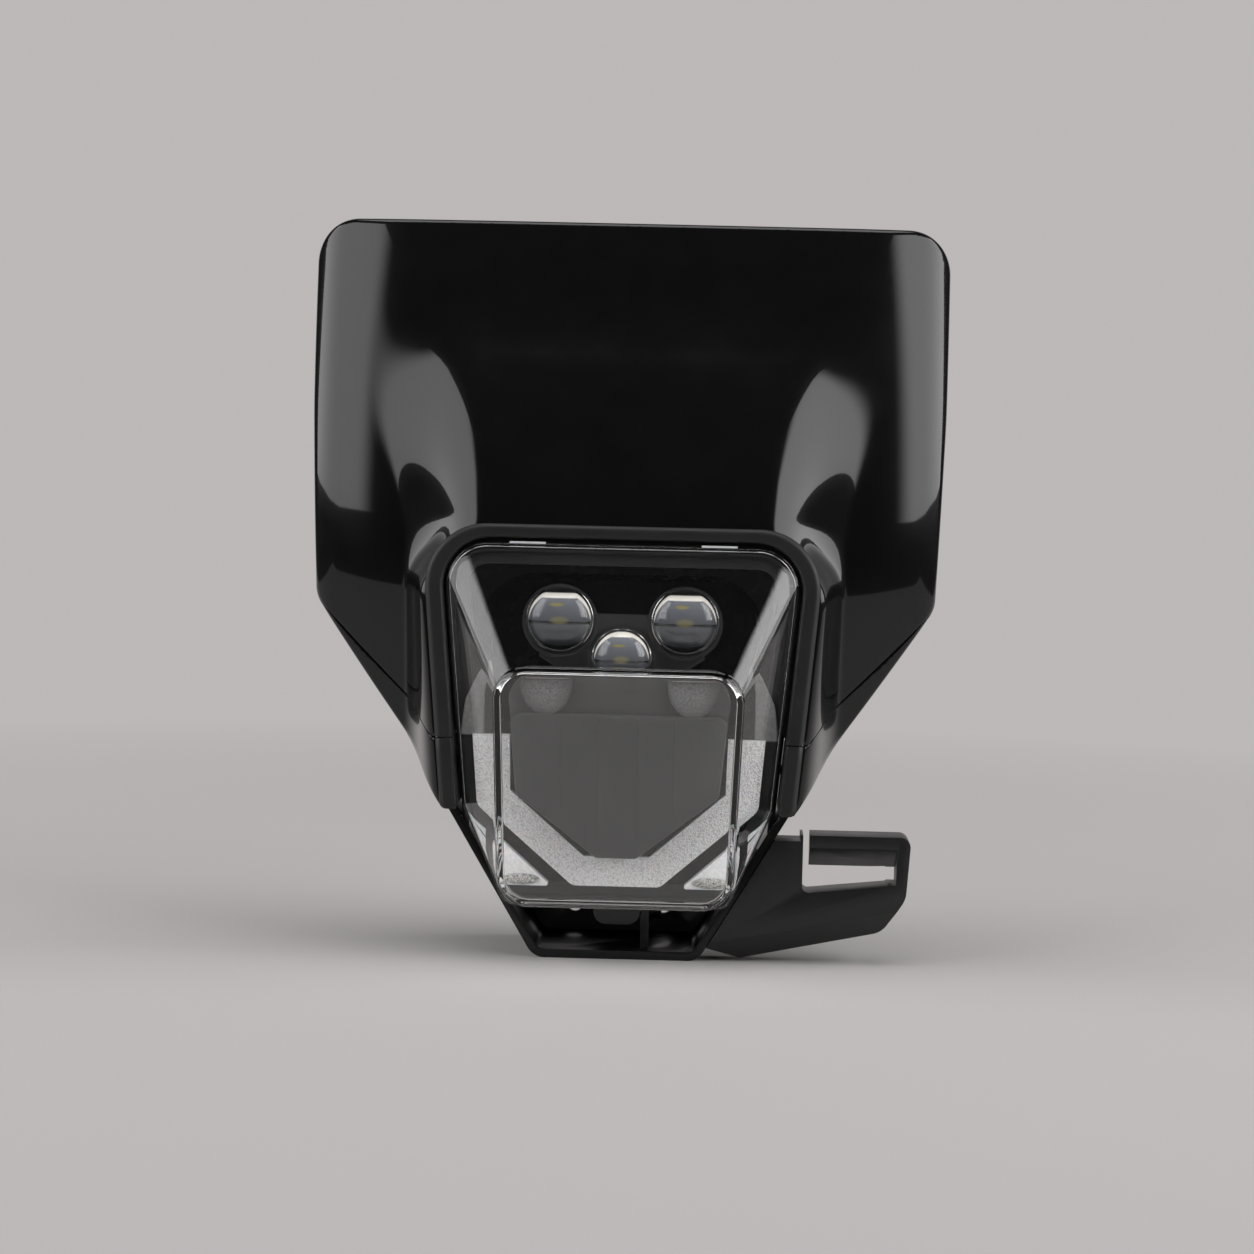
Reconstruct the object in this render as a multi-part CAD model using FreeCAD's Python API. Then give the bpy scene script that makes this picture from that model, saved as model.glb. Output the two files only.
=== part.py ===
import FreeCAD, Part
import math
import os
from FreeCAD import Vector

# Headlight mask of an enduro motorcycle: a glossy number-plate shell with swept wings, a matte
# surround, a tilting LED lamp with a clear stepped lens, a lower frame and a hose guide.
# Millimetres. X is to the right as seen from the front, Y runs from the front to the back, Z is up.
# The origin lies under the middle of the mask, on the surface that the lower frame stands on.

# Overall places
lens_front_y = -58.0        # foremost edge of the lens
fin_back_y = 58.0           # rear tips of the cooling fins
seam = 0.3                  # gap between pieces that meet
rounding_share = 0.48       # most of a side that the rounding of one corner may take

# Shell: front surface and outline
shell_wall = 2.6
plate_y = -34.5             # front of the plate at its lower edge
plate_foot_z = 60.0
plate_lean_deg = 3.0
plate_crown_r = 1400.0
plate_bend_low_z = 165.0    # above this the plate leans back until it meets the bow of the wings
plate_bend_top_z = 262.0
plate_bend_ease = 0.25
wing_y = -7.0               # foremost line of the wings, at the height of their bow
wing_bow_z = 160.0
wing_bow_r = 350.0
wrap_start_x = 88.0         # from here the wings curve back to their edges
wrap_r = 66.0
curl_start_x = 110.0        # and from here more tightly
curl_r = 18.0
shell_top_z = 290.0
shell_top_half = 128.0
shell_top_r = 17.5
shell_wide_z = 215.0
shell_wide_half = 126.9
shell_wide_r = 500.0
wing_corner_z = 139.3
wing_corner_half = 123.8
wing_corner_r = 11.0
wing_tip_half = 68.6
wing_tip_z = 60.3
rim_depth = 7.5             # turned-in flange round the shell
rim_wall = 2.4
cut_reach = 70.0            # half depth of the blocks that trim the shell

# Scoops between the plate and the wings
scoop_in_top = 54.0         # inner edge of a scoop above the lamp
scoop_in_top_z = 176.0
scoop_in_low_z = 140.0
scoop_in_gap = 0.4          # distance from the surround's leg, beside the lamp
scoop_out_top = 102.0       # outer edge, where a scoop runs out into the wing
scoop_out_top_z = 230.0
scoop_out_low = 88.0
scoop_out_low_z = 150.0
scoop_ease_in = 0.4         # share of the scoop's width that rounds its inner edge
scoop_ease_out = 0.5

# Surround and cheeks
leg_ref_z = 133.0
leg_splay = 0.09            # the legs lean out by this much for each unit of height
surround_half = 75.6        # half width over the legs at leg_ref_z
surround_top_z = 171.3
surround_r = 24.0
surround_in_half = 68.7
surround_in_top_z = 166.0
surround_in_r = 19.0
surround_proud = 1.7
surround_wall = 2.3
surround_back_y = 9.0
surround_lip = 5.0          # inward lip that closes the view past the lamp
surround_lip_y = -17.3
surround_lip_t = 2.0
cheek_top_z = 88.0
cheek_step_half = 73.0      # where the seam turns up towards the wing
cheek_seam_rise = 1.0
cheek_back_y = -8.0

# Lens
lens_wall = 2.6
lens_half = 67.0
lens_top_z = 163.9
lens_r = 16.0
lens_elbow_z = 62.0
lens_foot_half = 43.5
lens_foot_z = 22.5
lens_foot_r = 6.0
lens_flange_y = -27.0       # rear face of the lens flange
lens_flange = 4.0
block_half = 48.6
block_top_z = 116.7
block_foot_half = 45.3
block_foot_z = 24.6
block_r = 12.5
block_foot_r = 13.0
block_step = 5.0
block_edge_r = 2.6
block_tilt_deg = 4.0
lens_tab_half = 37.2        # two small tongues on top of the lens rim
lens_tab_w = 14.5
lens_tab_h = 0.7
lens_tab_t = 2.4

# Lamp housing
seal_inset = 0.8
seal_t = 1.4
flange_inset = 1.2
flange_t = 3.0
body_inset = 6.5
body_wall = 2.4
body_back_y = 34.0
body_draft = 5.0

# Tilt pivot and clamp
pivot_y = 0.0
pivot_z = 140.0
pivot_boss_r = 6.5
pivot_gap = 0.6
pivot_shaft_r = 2.5
pivot_bore_r = 2.55
pivot_head_r = 4.5
pivot_head_t = 3.0
boss_half = 9.2
boss_foot_z = 12.7
boss_front_y = -10.0
boss_back_y = 12.0
clamp_y = 1.0
clamp_z = 18.0
clamp_r = 2.5
clamp_head_r = 4.4
clamp_head_t = 3.6
clamp_washer_t = 1.0
clamp_washer_r = 5.6
clamp_travel = 4.6
clamp_gap = 0.4
ear_t = 3.2
ear_top_z = 24.0

# Lower frame
frame_wall = 3.4
frame_top_half = 68.0
frame_top_z = 60.0
frame_foot_half = 32.4
frame_r = 8.0
frame_front_y = -17.5
frame_back_y = 36.0
frame_tab_top_z = 101.0
frame_tab_t = 2.4
frame_tab_front_y = -15.0
frame_tab_back_y = 12.0
rear_wall_t = 3.0
rear_wall_top_z = 27.0
lower_hole_half = 18.0
lower_hole_z = 14.0
lower_hole_r = 3.2
frame_screw_low_z = 76.0
frame_screw_top_z = 95.0
frame_screw_y = -11.5
screw_r = 1.9
screw_head_r = 3.6
screw_head_t = 2.2

# Upper mounts: rubber grommets with steel sleeves in towers behind the plate
tower_half = 74.0
tower_z = 226.0
tower_r = 9.5
tower_back_y = 24.0
tower_bore_r = 6.4
tower_bore_depth = 14.0
sleeve_r = 4.2
sleeve_bore_r = 3.2
grommet_flange_r = 9.2
grommet_flange_t = 2.0
rib_t = 2.0
rib_depth = 6.0
rib_pitch = 24.0
rib_foot_gap = 22.0         # from the surround's top up to the foot of the plate's ribs
brace_depth = 10.0          # ribs that brace a tower
brace_length = 40.0

# Screws that hold the surround to the shell
top_ear_half = 38.0
top_ear_w = 14.0
top_ear_t = 2.6
top_ear_y = -10.0
top_ear_top_z = 187.0
top_screw_z = 179.0
top_boss_r = 4.6

# Hose guide
guide_front_y = -20.0
guide_back_y = -3.0
guide_top_z = 51.4
guide_right = 115.2
guide_stub_z = 49.0
guide_slot_left = 72.8
guide_slot_entry = 2.8
guide_slot_right = 106.6
guide_slot_foot_z = 28.4
guide_slot_rise = 3.6
guide_slot_top_z = 36.2
guide_mouth_top_z = 46.6
guide_mouth_right = 109.6
guide_screw_r = 2.0
guide_screw_head_r = 3.8

# Projector lenses and their carrier
bezel_y = -13.0             # rear face of the bezel field
bezel_t = 2.0
bezel_gap = 0.2
bezel_front_y = -26.0
bezel_split_z = 100.0       # below this the bezel is a plain plate that carries the lower optics
field_top_half = 57.5
field_top_gap = 12.0
field_r = 21.0
field_foot_half = 50.0
carrier_t = 3.4
eye_half = 24.5
eye_z = 132.6
eye_r = 13.1
eye_flat = 10.2
eye_mid_z = 117.6
eye_mid_r = 11.6
eye_dome = 7.0
eye_edge_t = 2.0
eye_ring = 1.6
aperture_r = 7.5
chip = 4.2
chip_t = 0.7
board_t = 1.6

# Lower optics
seat_gap = 0.1
panel_y = -42.0
panel_wall = 2.0
panel_half = 42.3
panel_top_z = 99.0
panel_elbow_z = 68.0
panel_elbow_half = 39.3
panel_foot_half = 7.8
panel_foot_z = 43.6
bar_t = 4.8
bar_w = 11.6
bar_top_z = 89.6
bar_top_half = 55.2
bar_elbow_z = 62.5
bar_elbow_half = 53.0
bar_foot_half = 17.0
bar_foot_z = 31.4
cup_half = 27.0
cup_r = 9.4
cup_h = 11.0
cup_wall = 1.2
cup_y = -38.0
corner_y = -33.5

# Rear of the lamp
sink_half = 36.0
sink_foot_z = 72.0
sink_top_z = 140.0
sink_plate_t = 4.0
fin_count = 9
fin_t = 2.0
fin_inset_z = 4.0
socket_x = 14.0
socket_z = 48.0
socket_w = 24.0
socket_h = 16.0
socket_wall = 1.8
socket_depth = 15.0
pin_count = 3
pin_r = 0.8
vent_x = -22.0
vent_z = 48.0
vent_r = 6.0
vent_t = 5.0


def blend(t):
    """Smooth step from 0 to 1 with flat ends."""
    t = min(max(t, 0.0), 1.0)
    return t * t * t * (10.0 - 15.0 * t + 6.0 * t * t)


def between(z, low_z, low, high_z, high):
    """Value that goes smoothly from low at low_z to high at high_z."""
    return low + (high - low) * blend((z - low_z) / (high_z - low_z))


def ramp(t, ease_in, ease_out):
    """Straight rise from 0 to 1 whose two ends are rounded over the given shares."""
    t = min(max(t, 0.0), 1.0)
    low = max(t - ease_in, 0.0)
    high = max(t - 1.0 + ease_out, 0.0)
    area = (t * t - low * low) / (2 * ease_in) - high * high / (2 * ease_out)
    return area / (1.0 - (ease_in + ease_out) / 2)


def leg(half, z):
    """Half width at height z of an outline that is half wide at leg_ref_z."""
    return half + (z - leg_ref_z) * leg_splay


# Outlines are lists of (x, z, radius), counter-clockwise from the front, for the right half


def both_sides(right):
    """Closed outline from its right half, which is listed from the foot to the top."""
    return right + [(-x, z, r) for x, z, r in reversed(right)]


def inset(outline, distance):
    """Moves every side of a closed outline inwards."""
    result = []
    count = len(outline)
    for i, (x, z, r) in enumerate(outline):
        px, pz, _ = outline[i - 1]
        nx, nz, _ = outline[(i + 1) % count]
        before = Vector(x - px, 0, z - pz).normalize()
        after = Vector(nx - x, 0, nz - z).normalize()
        normal_a = Vector(-before.z, 0, before.x)
        normal_b = Vector(-after.z, 0, after.x)
        middle = (normal_a + normal_b).normalize()
        shift = middle * (distance / middle.dot(normal_a))
        result.append((x + shift.x, z + shift.z, max(r - distance, 0.0)))
    return result


def front_wire(outline, y):
    """Closed wire at depth y, with each corner rounded by its own radius where its sides allow it."""
    count = len(outline)
    starts, ends, middles = [], [], []
    for i, (x, z, r) in enumerate(outline):
        corner = Vector(x, y, z)
        before = Vector(outline[i - 1][0], y, outline[i - 1][1]) - corner
        after = Vector(outline[(i + 1) % count][0], y, outline[(i + 1) % count][1]) - corner
        room = min(before.Length, after.Length) * rounding_share
        before.normalize()
        after.normalize()
        half = before.getAngle(after) / 2
        if r <= 0 or half > math.pi / 2 - 1e-4:
            starts.append(corner)
            ends.append(corner)
            middles.append(None)
            continue
        r = min(r, room * math.tan(half))
        starts.append(corner + before * (r / math.tan(half)))
        ends.append(corner + after * (r / math.tan(half)))
        inwards = (before + after).normalize()
        middles.append(corner + inwards * (r / math.sin(half) - r))
    edges = []
    for i in range(count):
        if middles[i]:
            edges.append(Part.Arc(starts[i], middles[i], ends[i]).toShape())
        edges.append(Part.LineSegment(ends[i], starts[(i + 1) % count]).toShape())
    return Part.Wire(edges)


def prism(outline, y_front, y_back):
    """Solid between two depths with the given front outline."""
    return Part.Face(front_wire(outline, y_front)).extrude(Vector(0, y_back - y_front, 0))


def box(x0, x1, y0, y1, z0, z1):
    return Part.makeBox(x1 - x0, y1 - y0, z1 - z0, Vector(x0, y0, z0))


def rod(r, start, end):
    """Cylinder from start to end."""
    way = end - start
    return Part.makeCylinder(r, way.Length, start, way)


def mirrored(shape):
    return shape.mirror(Vector(0, 0, 0), Vector(1, 0, 0))


def pair(shape):
    """A solid and its mirror image on the other side of the mask."""
    return Part.Compound([shape, mirrored(shape)])


def pan_screw(seat, way, length, r, head_r, head_t):
    """Screw whose head sits on seat and whose shaft runs along way, with a hexagon socket."""
    way = Vector(way).normalize()
    head = rod(head_r, seat - way * head_t, seat)
    shaft = rod(r, seat, seat + way * length)
    screw = head.fuse(shaft)
    side = Vector(0, 0, 1) if abs(way.z) < 0.9 else Vector(1, 0, 0)
    across = way.cross(side).normalize()
    up = across.cross(way)
    key_r = head_r * 0.55
    top = seat - way * head_t
    rim = [top + across * (key_r * math.cos(k * math.pi / 3)) + up * (key_r * math.sin(k * math.pi / 3))
           for k in range(6)]
    socket = Part.Face(Part.makePolygon(rim + [rim[0]])).extrude(way * (head_t * 0.6))
    return screw.cut(socket)


# Shell


def scoop_in(z):
    """Inner edge of a scoop: over the lamp it starts well inside, beside the lamp at the surround."""
    return between(z, scoop_in_low_z, leg(surround_half, z) + scoop_in_gap, scoop_in_top_z, scoop_in_top)


def scoop_out(z):
    return between(z, scoop_out_low_z, scoop_out_low, scoop_out_top_z, scoop_out_top)


def shell_y(x, z):
    """Depth of the shell's outer surface: a plate, bowed wings further back, and scoops that join them."""
    x = abs(x)
    plate = plate_y + (z - plate_foot_z) * math.tan(math.radians(plate_lean_deg))
    wing = wing_y + (z - wing_bow_z) ** 2 / (2 * wing_bow_r)
    bend = ramp((z - plate_bend_low_z) / (plate_bend_top_z - plate_bend_low_z),
                plate_bend_ease, plate_bend_ease)
    inner, outer = scoop_in(z), scoop_out(z)
    scoop = ramp((x - inner) / (outer - inner), scoop_ease_in, scoop_ease_out)
    y = plate + (wing - plate) * (bend + (1.0 - bend) * scoop)
    y += x * x / (2 * plate_crown_r)
    y += max(x - wrap_start_x, 0.0) ** 2 / (2 * wrap_r)
    return y + max(x - curl_start_x, 0.0) ** 2 / (2 * curl_r)


def shell_grid(offset):
    """Rows of points on the surface that lies offset behind the shell's outer surface."""
    step = 0.05
    over = 9.0
    rows = []
    row_count = 23
    low_z = wing_tip_z - over
    high_z = shell_top_z + over
    for j in range(row_count + 1):
        z = low_z + (high_z - low_z) * j / row_count
        stops = [0.0, scoop_in(z), scoop_out(z), shell_wide_half + over]
        half = [0.0]
        for left, right, count in zip(stops, stops[1:], (4, 7, 4)):
            half += [left + (right - left) * (i + 1) / count for i in range(count)]
        row = []
        for x in [-v for v in reversed(half[1:])] + half:
            y = shell_y(x, z)
            slope_x = (shell_y(x + step, z) - shell_y(x - step, z)) / (2 * step)
            slope_z = (shell_y(x, z + step) - shell_y(x, z - step)) / (2 * step)
            back = Vector(-slope_x, 1, -slope_z).normalize()
            row.append(Vector(x, y, z) + back * offset)
        rows.append(row)
    return rows


def behind_shell(offset, depth=90.0):
    """Solid that fills the space behind the shell surface, or in front of it for a negative depth."""
    rows = shell_grid(offset)
    degree = 3
    surface = Part.BSplineSurface()
    knots_z = list(range(len(rows) - degree + 1))
    knots_x = list(range(len(rows[0]) - degree + 1))
    ends = degree + 1
    surface.buildFromPolesMultsKnots(
        rows,
        [ends] + [1] * (len(knots_z) - 2) + [ends],
        [ends] + [1] * (len(knots_x) - 2) + [ends],
        knots_z, knots_x, False, False, degree, degree)
    return Part.Face(surface).extrude(Vector(0, depth, 0))


def shell_outline():
    return both_sides([
        (wing_tip_half, wing_tip_z, 0),
        (wing_corner_half, wing_corner_z, wing_corner_r),
        (shell_wide_half, shell_wide_z, shell_wide_r),
        (shell_top_half, shell_top_z, shell_top_r),
    ])


def surround_outline():
    foot = wing_tip_z
    return both_sides([
        (leg(surround_half, foot), foot, 0),
        (leg(surround_half, surround_top_z), surround_top_z, surround_r),
    ])


def lamp_window():
    """Inner edge of the surround, run on below the mask."""
    foot = wing_tip_z - 20
    return both_sides([
        (leg(surround_in_half, foot), foot, 0),
        (leg(surround_in_half, surround_in_top_z), surround_in_top_z, surround_in_r),
    ])


def window_wall_outline(extra):
    """Outer side of the wall that runs back round the lamp, with an extra distance."""
    foot = wing_tip_z - 20
    half = surround_in_half + surround_wall + extra
    top = surround_in_top_z + surround_wall + extra
    return both_sides([
        (leg(half, foot), foot, 0),
        (leg(half, top), top, surround_in_r + surround_wall + extra),
    ])


def cheek_space(gap):
    """Space that belongs to the cheek on the right, drawn back by a gap along its seam."""
    foot = wing_tip_z - 40
    far = 140.0
    rise = (far - cheek_step_half) * cheek_seam_rise
    return prism([
        (50.0, foot, 0),
        (far, foot, 0),
        (far, cheek_top_z + rise - gap, 0),
        (cheek_step_half, cheek_top_z - gap, 0),
        (50.0, cheek_top_z - gap, 0),
    ], -80.0, 80.0)


def shell_sheet():
    """The whole thin shell with its turned-in rim, before it is parted from the cheeks."""
    outline = shell_outline()
    solid = behind_shell(0.0)
    block = prism(outline, -cut_reach, cut_reach)
    sheet = solid.cut(behind_shell(shell_wall)).common(block)
    rim_zone = block.cut(prism(inset(outline, rim_wall), -cut_reach - 5, cut_reach + 5))
    rim = rim_zone.common(behind_shell(shell_wall / 2, rim_depth))
    sheet = sheet.fuse(rim)
    return sheet.cut(prism(window_wall_outline(seam), -cut_reach - 5, cut_reach + 5))


def front_shell(sheet):
    """Plate and wings, with the mount towers and their ribs behind."""
    shell = sheet.cut(cheek_space(0)).cut(mirrored(cheek_space(0)))
    backing = behind_shell(shell_wall / 2)
    brace_zone = behind_shell(0.0, shell_wall + brace_depth)
    extras = []
    for side in (-1, 1):
        x = side * tower_half
        tower = rod(tower_r, Vector(x, -40, tower_z), Vector(x, tower_back_y, tower_z))
        tower = tower.cut(rod(tower_bore_r, Vector(x, tower_back_y - tower_bore_depth, tower_z),
                              Vector(x, tower_back_y, tower_z)))
        up = box(x - rib_t / 2, x + rib_t / 2, -40, cut_reach, tower_z, shell_top_z - rim_wall)
        inner = min(x, side * (tower_half - brace_length))
        across = box(inner, inner + brace_length, -40, cut_reach, tower_z - rib_t / 2, tower_z + rib_t / 2)
        up = up.common(brace_zone)
        across = across.common(brace_zone)
        boss = rod(top_boss_r, Vector(side * top_ear_half, -40, top_screw_z),
                   Vector(side * top_ear_half, top_ear_y - top_ear_t / 2 - seam, top_screw_z))
        boss = boss.cut(rod(screw_r, Vector(side * top_ear_half, -19, top_screw_z),
                            Vector(side * top_ear_half, 0, top_screw_z)))
        hollow = rod(tower_bore_r, Vector(x, tower_back_y - tower_bore_depth, tower_z),
                     Vector(x, tower_back_y, tower_z))
        extras += [tower, up.cut(hollow), across.cut(hollow), boss]
    ribs = [box(x - rib_t / 2, x + rib_t / 2, -40, cut_reach, surround_top_z + rib_foot_gap,
                shell_top_z - rim_wall) for x in (-rib_pitch, 0.0, rib_pitch)]
    rib_zone = behind_shell(0.0, shell_wall + rib_depth)
    extras = [piece.common(backing) for piece in extras]
    extras += [piece.common(backing).common(rib_zone) for piece in ribs]
    return shell.multiFuse(extras).removeSplitter()


def surround_ring():
    """Rim and rear wall of the surround over its full height, legs to the foot."""
    front = plate_y - surround_proud
    ring = prism(surround_outline(), -60, 20).cut(prism(lamp_window(), -75, 75))
    lean = math.radians(plate_lean_deg)
    # The front of the rim is parallel to the plate
    cutter = box(-150, 150, -80, 0, -60, 200)
    cutter.rotate(Vector(0, 0, 0), Vector(1, 0, 0), -math.degrees(lean))
    cutter.translate(Vector(0, front, plate_foot_z))
    rim = ring.cut(cutter).cut(behind_shell(-seam))
    wall = prism(window_wall_outline(0), -60, surround_back_y).cut(prism(lamp_window(), -75, 75))
    lip = prism(lamp_window(), surround_lip_y, surround_lip_y + surround_lip_t)
    lip = lip.cut(prism(inset(lamp_window(), surround_lip), -75, 75))
    wall = wall.cut(cutter).fuse(lip)
    return rim.fuse(wall.cut(box(-200, 200, -75, 75, 0, wing_tip_z)))


def lamp_surround(ring):
    """Matte inverted U with the lamp's pivot holes and the ears that screw to the shell."""
    surround = ring.cut(box(-200, 200, -75, 75, -60, cheek_top_z + seam))
    ears = []
    for side in (-1, 1):
        x = side * top_ear_half
        ear = box(x - top_ear_w / 2, x + top_ear_w / 2, top_ear_y - top_ear_t / 2,
                  top_ear_y + top_ear_t / 2, surround_in_top_z + surround_wall / 2, top_ear_top_z)
        ear = ear.cut(rod(screw_r + 0.2, Vector(x, -30, top_screw_z), Vector(x, 10, top_screw_z)))
        ears.append(ear)
    surround = surround.multiFuse(ears)
    bore = rod(pivot_bore_r, Vector(-90, pivot_y, pivot_z), Vector(90, pivot_y, pivot_z))
    low = rod(screw_r + 0.1, Vector(-90, frame_screw_y, frame_screw_top_z),
              Vector(90, frame_screw_y, frame_screw_top_z))
    return surround.cut(bore).cut(low).removeSplitter()


def cheek(sheet, ring):
    """Lower end of a surround leg and of the wing beside it, on the right."""
    space = cheek_space(seam)
    skin = sheet.common(space)
    end = ring.common(space).cut(box(50, 90, cheek_back_y, 40, 0, 200))
    hole = rod(screw_r + 0.1, Vector(50, frame_screw_y, frame_screw_low_z),
               Vector(90, frame_screw_y, frame_screw_low_z))
    bridge = box(60, 80, -33, -26, wing_tip_z, cheek_top_z - seam)
    bridge = bridge.common(prism(surround_outline(), -75, 75)).cut(prism(lamp_window(), -75, 75))
    bridge = bridge.common(behind_shell(-0.5))
    return skin.multiFuse([end, bridge]).cut(hole).removeSplitter()


# Lower frame


def frame_outline():
    return both_sides([
        (frame_foot_half, 0.0, frame_r),
        (frame_top_half, frame_top_z, 0),
    ])


def frame_tab_half(z, extra):
    """Half width of the outer side of the frame's upright tabs."""
    return leg(surround_in_half, z) - seam - extra


def lower_frame():
    """Glossy tub under the lamp with two upright tabs, a slotted ear and a rear wall."""
    outer = prism(frame_outline(), frame_front_y, frame_back_y)
    inner = inset(frame_outline(), frame_wall)
    slope = (frame_top_half - frame_foot_half) / frame_top_z
    raised = [(x + slope * 10 * (1 if x > 0 else -1), z + 10, r) if z > frame_top_z / 2 else (x, z, r)
              for x, z, r in inner]
    tub = outer.cut(prism(raised, -90, 90))
    wall = prism(frame_outline(), frame_back_y - rear_wall_t, frame_back_y)
    wall = wall.cut(box(-90, 90, -90, 90, rear_wall_top_z, 100))
    tub = tub.fuse(wall)
    foot = frame_top_z - 9
    top = frame_tab_top_z
    tab = prism([
        (frame_tab_half(foot, frame_tab_t), foot, 0),
        (frame_tab_half(foot, 0), foot, 0),
        (frame_tab_half(top, 0), top, 0),
        (frame_tab_half(top, frame_tab_t), top, 0),
    ], frame_tab_front_y, frame_tab_back_y)
    tab = tab.cut(tab_corners())
    ear = slotted_ear()
    tub = tub.multiFuse([tab, mirrored(tab), ear])
    for z in (frame_screw_low_z, frame_screw_top_z):
        tub = tub.cut(rod(screw_r + 0.1, Vector(-90, frame_screw_y, z), Vector(90, frame_screw_y, z)))
    for x in (-lower_hole_half, lower_hole_half):
        tub = tub.cut(rod(lower_hole_r, Vector(x, 0, lower_hole_z), Vector(x, 60, lower_hole_z)))
    for seat in guide_screw_seats():
        way = guide_wall_normal()
        tub = tub.cut(rod(guide_screw_r + 0.2, seat - way * 2, seat + way * 12))
    return tub.removeSplitter()


def tab_corners():
    """Slopes off the upper rear corners of the frame's tabs."""
    corners = [Vector(0, frame_tab_back_y + 1, frame_top_z + 8), Vector(0, frame_tab_back_y + 1, 140),
               Vector(0, -4, 140), Vector(0, -4, frame_tab_top_z)]
    return Part.Face(Part.makePolygon(corners + [corners[0]])).extrude(Vector(100, 0, 0))


def slotted_ear():
    """Upright ear beside the lamp's foot boss, with the slot that the clamp screw slides in."""
    left = boss_half + clamp_gap
    front = clamp_y - clamp_travel - clamp_r - 4
    back = clamp_y + clamp_travel + clamp_r + 4
    ear = box(left, left + ear_t, front, back, frame_wall / 2, ear_top_z)
    ear = ear.makeFillet(5, [e for e in ear.Edges
                             if e.BoundBox.ZMin > ear_top_z - 0.01 and e.BoundBox.XLength > 1
                             and e.BoundBox.YLength < 0.01])
    r = clamp_r + 0.35
    slot = box(left - 1, left + ear_t + 1, clamp_y - clamp_travel, clamp_y + clamp_travel,
               clamp_z - r, clamp_z + r)
    for y in (clamp_y - clamp_travel, clamp_y + clamp_travel):
        slot = slot.fuse(rod(r, Vector(left - 1, y, clamp_z), Vector(left + ear_t + 1, y, clamp_z)))
    return ear.cut(slot)


def guide_wall_normal():
    """Direction out of the frame's slanted right wall."""
    rise = Vector(frame_top_half - frame_foot_half, 0, frame_top_z).normalize()
    return Vector(rise.z, 0, -rise.x)


def guide_screw_seats():
    """Where the hose guide's screw heads sit on the inside of the frame's slanted wall."""
    rise = Vector(frame_top_half - frame_foot_half, 0, frame_top_z)
    middle_y = (guide_front_y + guide_back_y) / 2
    return [Vector(frame_foot_half, middle_y, 0) + rise * share - guide_wall_normal() * frame_wall
            for share in (0.42, 0.66)]


def frame_screws():
    """Screws through the tabs: the upper pair into the surround, the lower pair into the cheeks."""
    screws = []
    for z in (frame_screw_low_z, frame_screw_top_z):
        seat = Vector(frame_tab_half(z - screw_head_r, frame_tab_t), frame_screw_y, z)
        length = frame_tab_t + seam + surround_wall + 0.6
        screws.append(pan_screw(seat, Vector(1, 0, 0), length, screw_r, screw_head_r, screw_head_t))
    return Part.Compound(screws + [mirrored(s) for s in screws])


# Hose guide


def hose_guide():
    """Arm on the right with a hooked pocket that a hose is pressed into."""
    gap = guide_wall_normal() * 0.05
    low = frame_foot_half + gap.x
    slope = (frame_top_half - frame_foot_half) / frame_top_z
    body = prism([
        (low + slope * 5.5, 5.5, 0),
        (49.0, 1.4, 2.0),
        (104.5, 13.0, 8.0),
        (113.6, 27.0, 10.0),
        (guide_right, guide_top_z, 4.0),
        (guide_slot_left - 1, guide_top_z, 0),
        (guide_slot_left - 1, guide_stub_z, 0),
        (low + slope * guide_stub_z, guide_stub_z, 0),
    ], guide_front_y, guide_back_y)
    # The lower front is bevelled back below a crease that rises to the right
    crease = [Vector(30, guide_front_y - 1, 11.5), Vector(30, guide_front_y - 1, -20),
              Vector(30, guide_front_y + 7.5, -20), Vector(30, guide_front_y + 7.5, -2)]
    bevel = Part.Face(Part.makePolygon(crease + [crease[0]])).extrude(Vector(110, 0, 0))
    bevel.rotate(Vector(48, 0, 10), Vector(0, 1, 0), -11.0)
    body = body.cut(bevel)
    pocket = prism([
        (guide_slot_left, guide_slot_foot_z, 2.6),
        (guide_slot_right, guide_slot_foot_z + guide_slot_rise, 1.2),
        (guide_slot_right, guide_slot_top_z + 1.6, 1.2),
        (guide_slot_left, guide_slot_top_z, 0),
    ], -50, 50)
    entry = box(guide_slot_left, guide_slot_left + guide_slot_entry, -50, 50,
                guide_slot_top_z - 1, guide_top_z + 5)
    mouth_left = guide_slot_left + guide_slot_entry - 0.5
    mouth = [Vector(mouth_left, guide_front_y - 0.1, guide_mouth_top_z),
             Vector(mouth_left, guide_back_y + 0.1, guide_slot_top_z + 1.2),
             Vector(mouth_left, guide_back_y + 0.1, guide_slot_foot_z + 4),
             Vector(mouth_left, guide_front_y - 0.1, guide_slot_foot_z + 4)]
    mouth = Part.Face(Part.makePolygon(mouth + [mouth[0]]))
    mouth = mouth.extrude(Vector(guide_mouth_right - mouth_left, 0, 0))
    body = body.cut(pocket).cut(entry).cut(mouth)
    for seat in guide_screw_seats():
        way = guide_wall_normal()
        body = body.cut(rod(guide_screw_r, seat, seat + way * 12))
    return body.removeSplitter()


def hose_guide_screws():
    way = guide_wall_normal()
    return Part.Compound([pan_screw(seat - way * 0.1, way, 11.0, guide_screw_r, guide_screw_head_r,
                                    screw_head_t) for seat in guide_screw_seats()])


# Upper mounts


def mount_grommets():
    grommets = []
    for side in (-1, 1):
        x = side * tower_half
        end = Vector(x, tower_back_y, tower_z)
        ring = rod(tower_bore_r - 0.1, end - Vector(0, tower_bore_depth - 1, 0), end)
        flange = rod(grommet_flange_r, end, end + Vector(0, grommet_flange_t, 0))
        hole = rod(sleeve_r, end - Vector(0, tower_bore_depth, 0), end + Vector(0, 5, 0))
        grommets.append(ring.fuse(flange).cut(hole))
    return Part.Compound(grommets)


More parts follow.
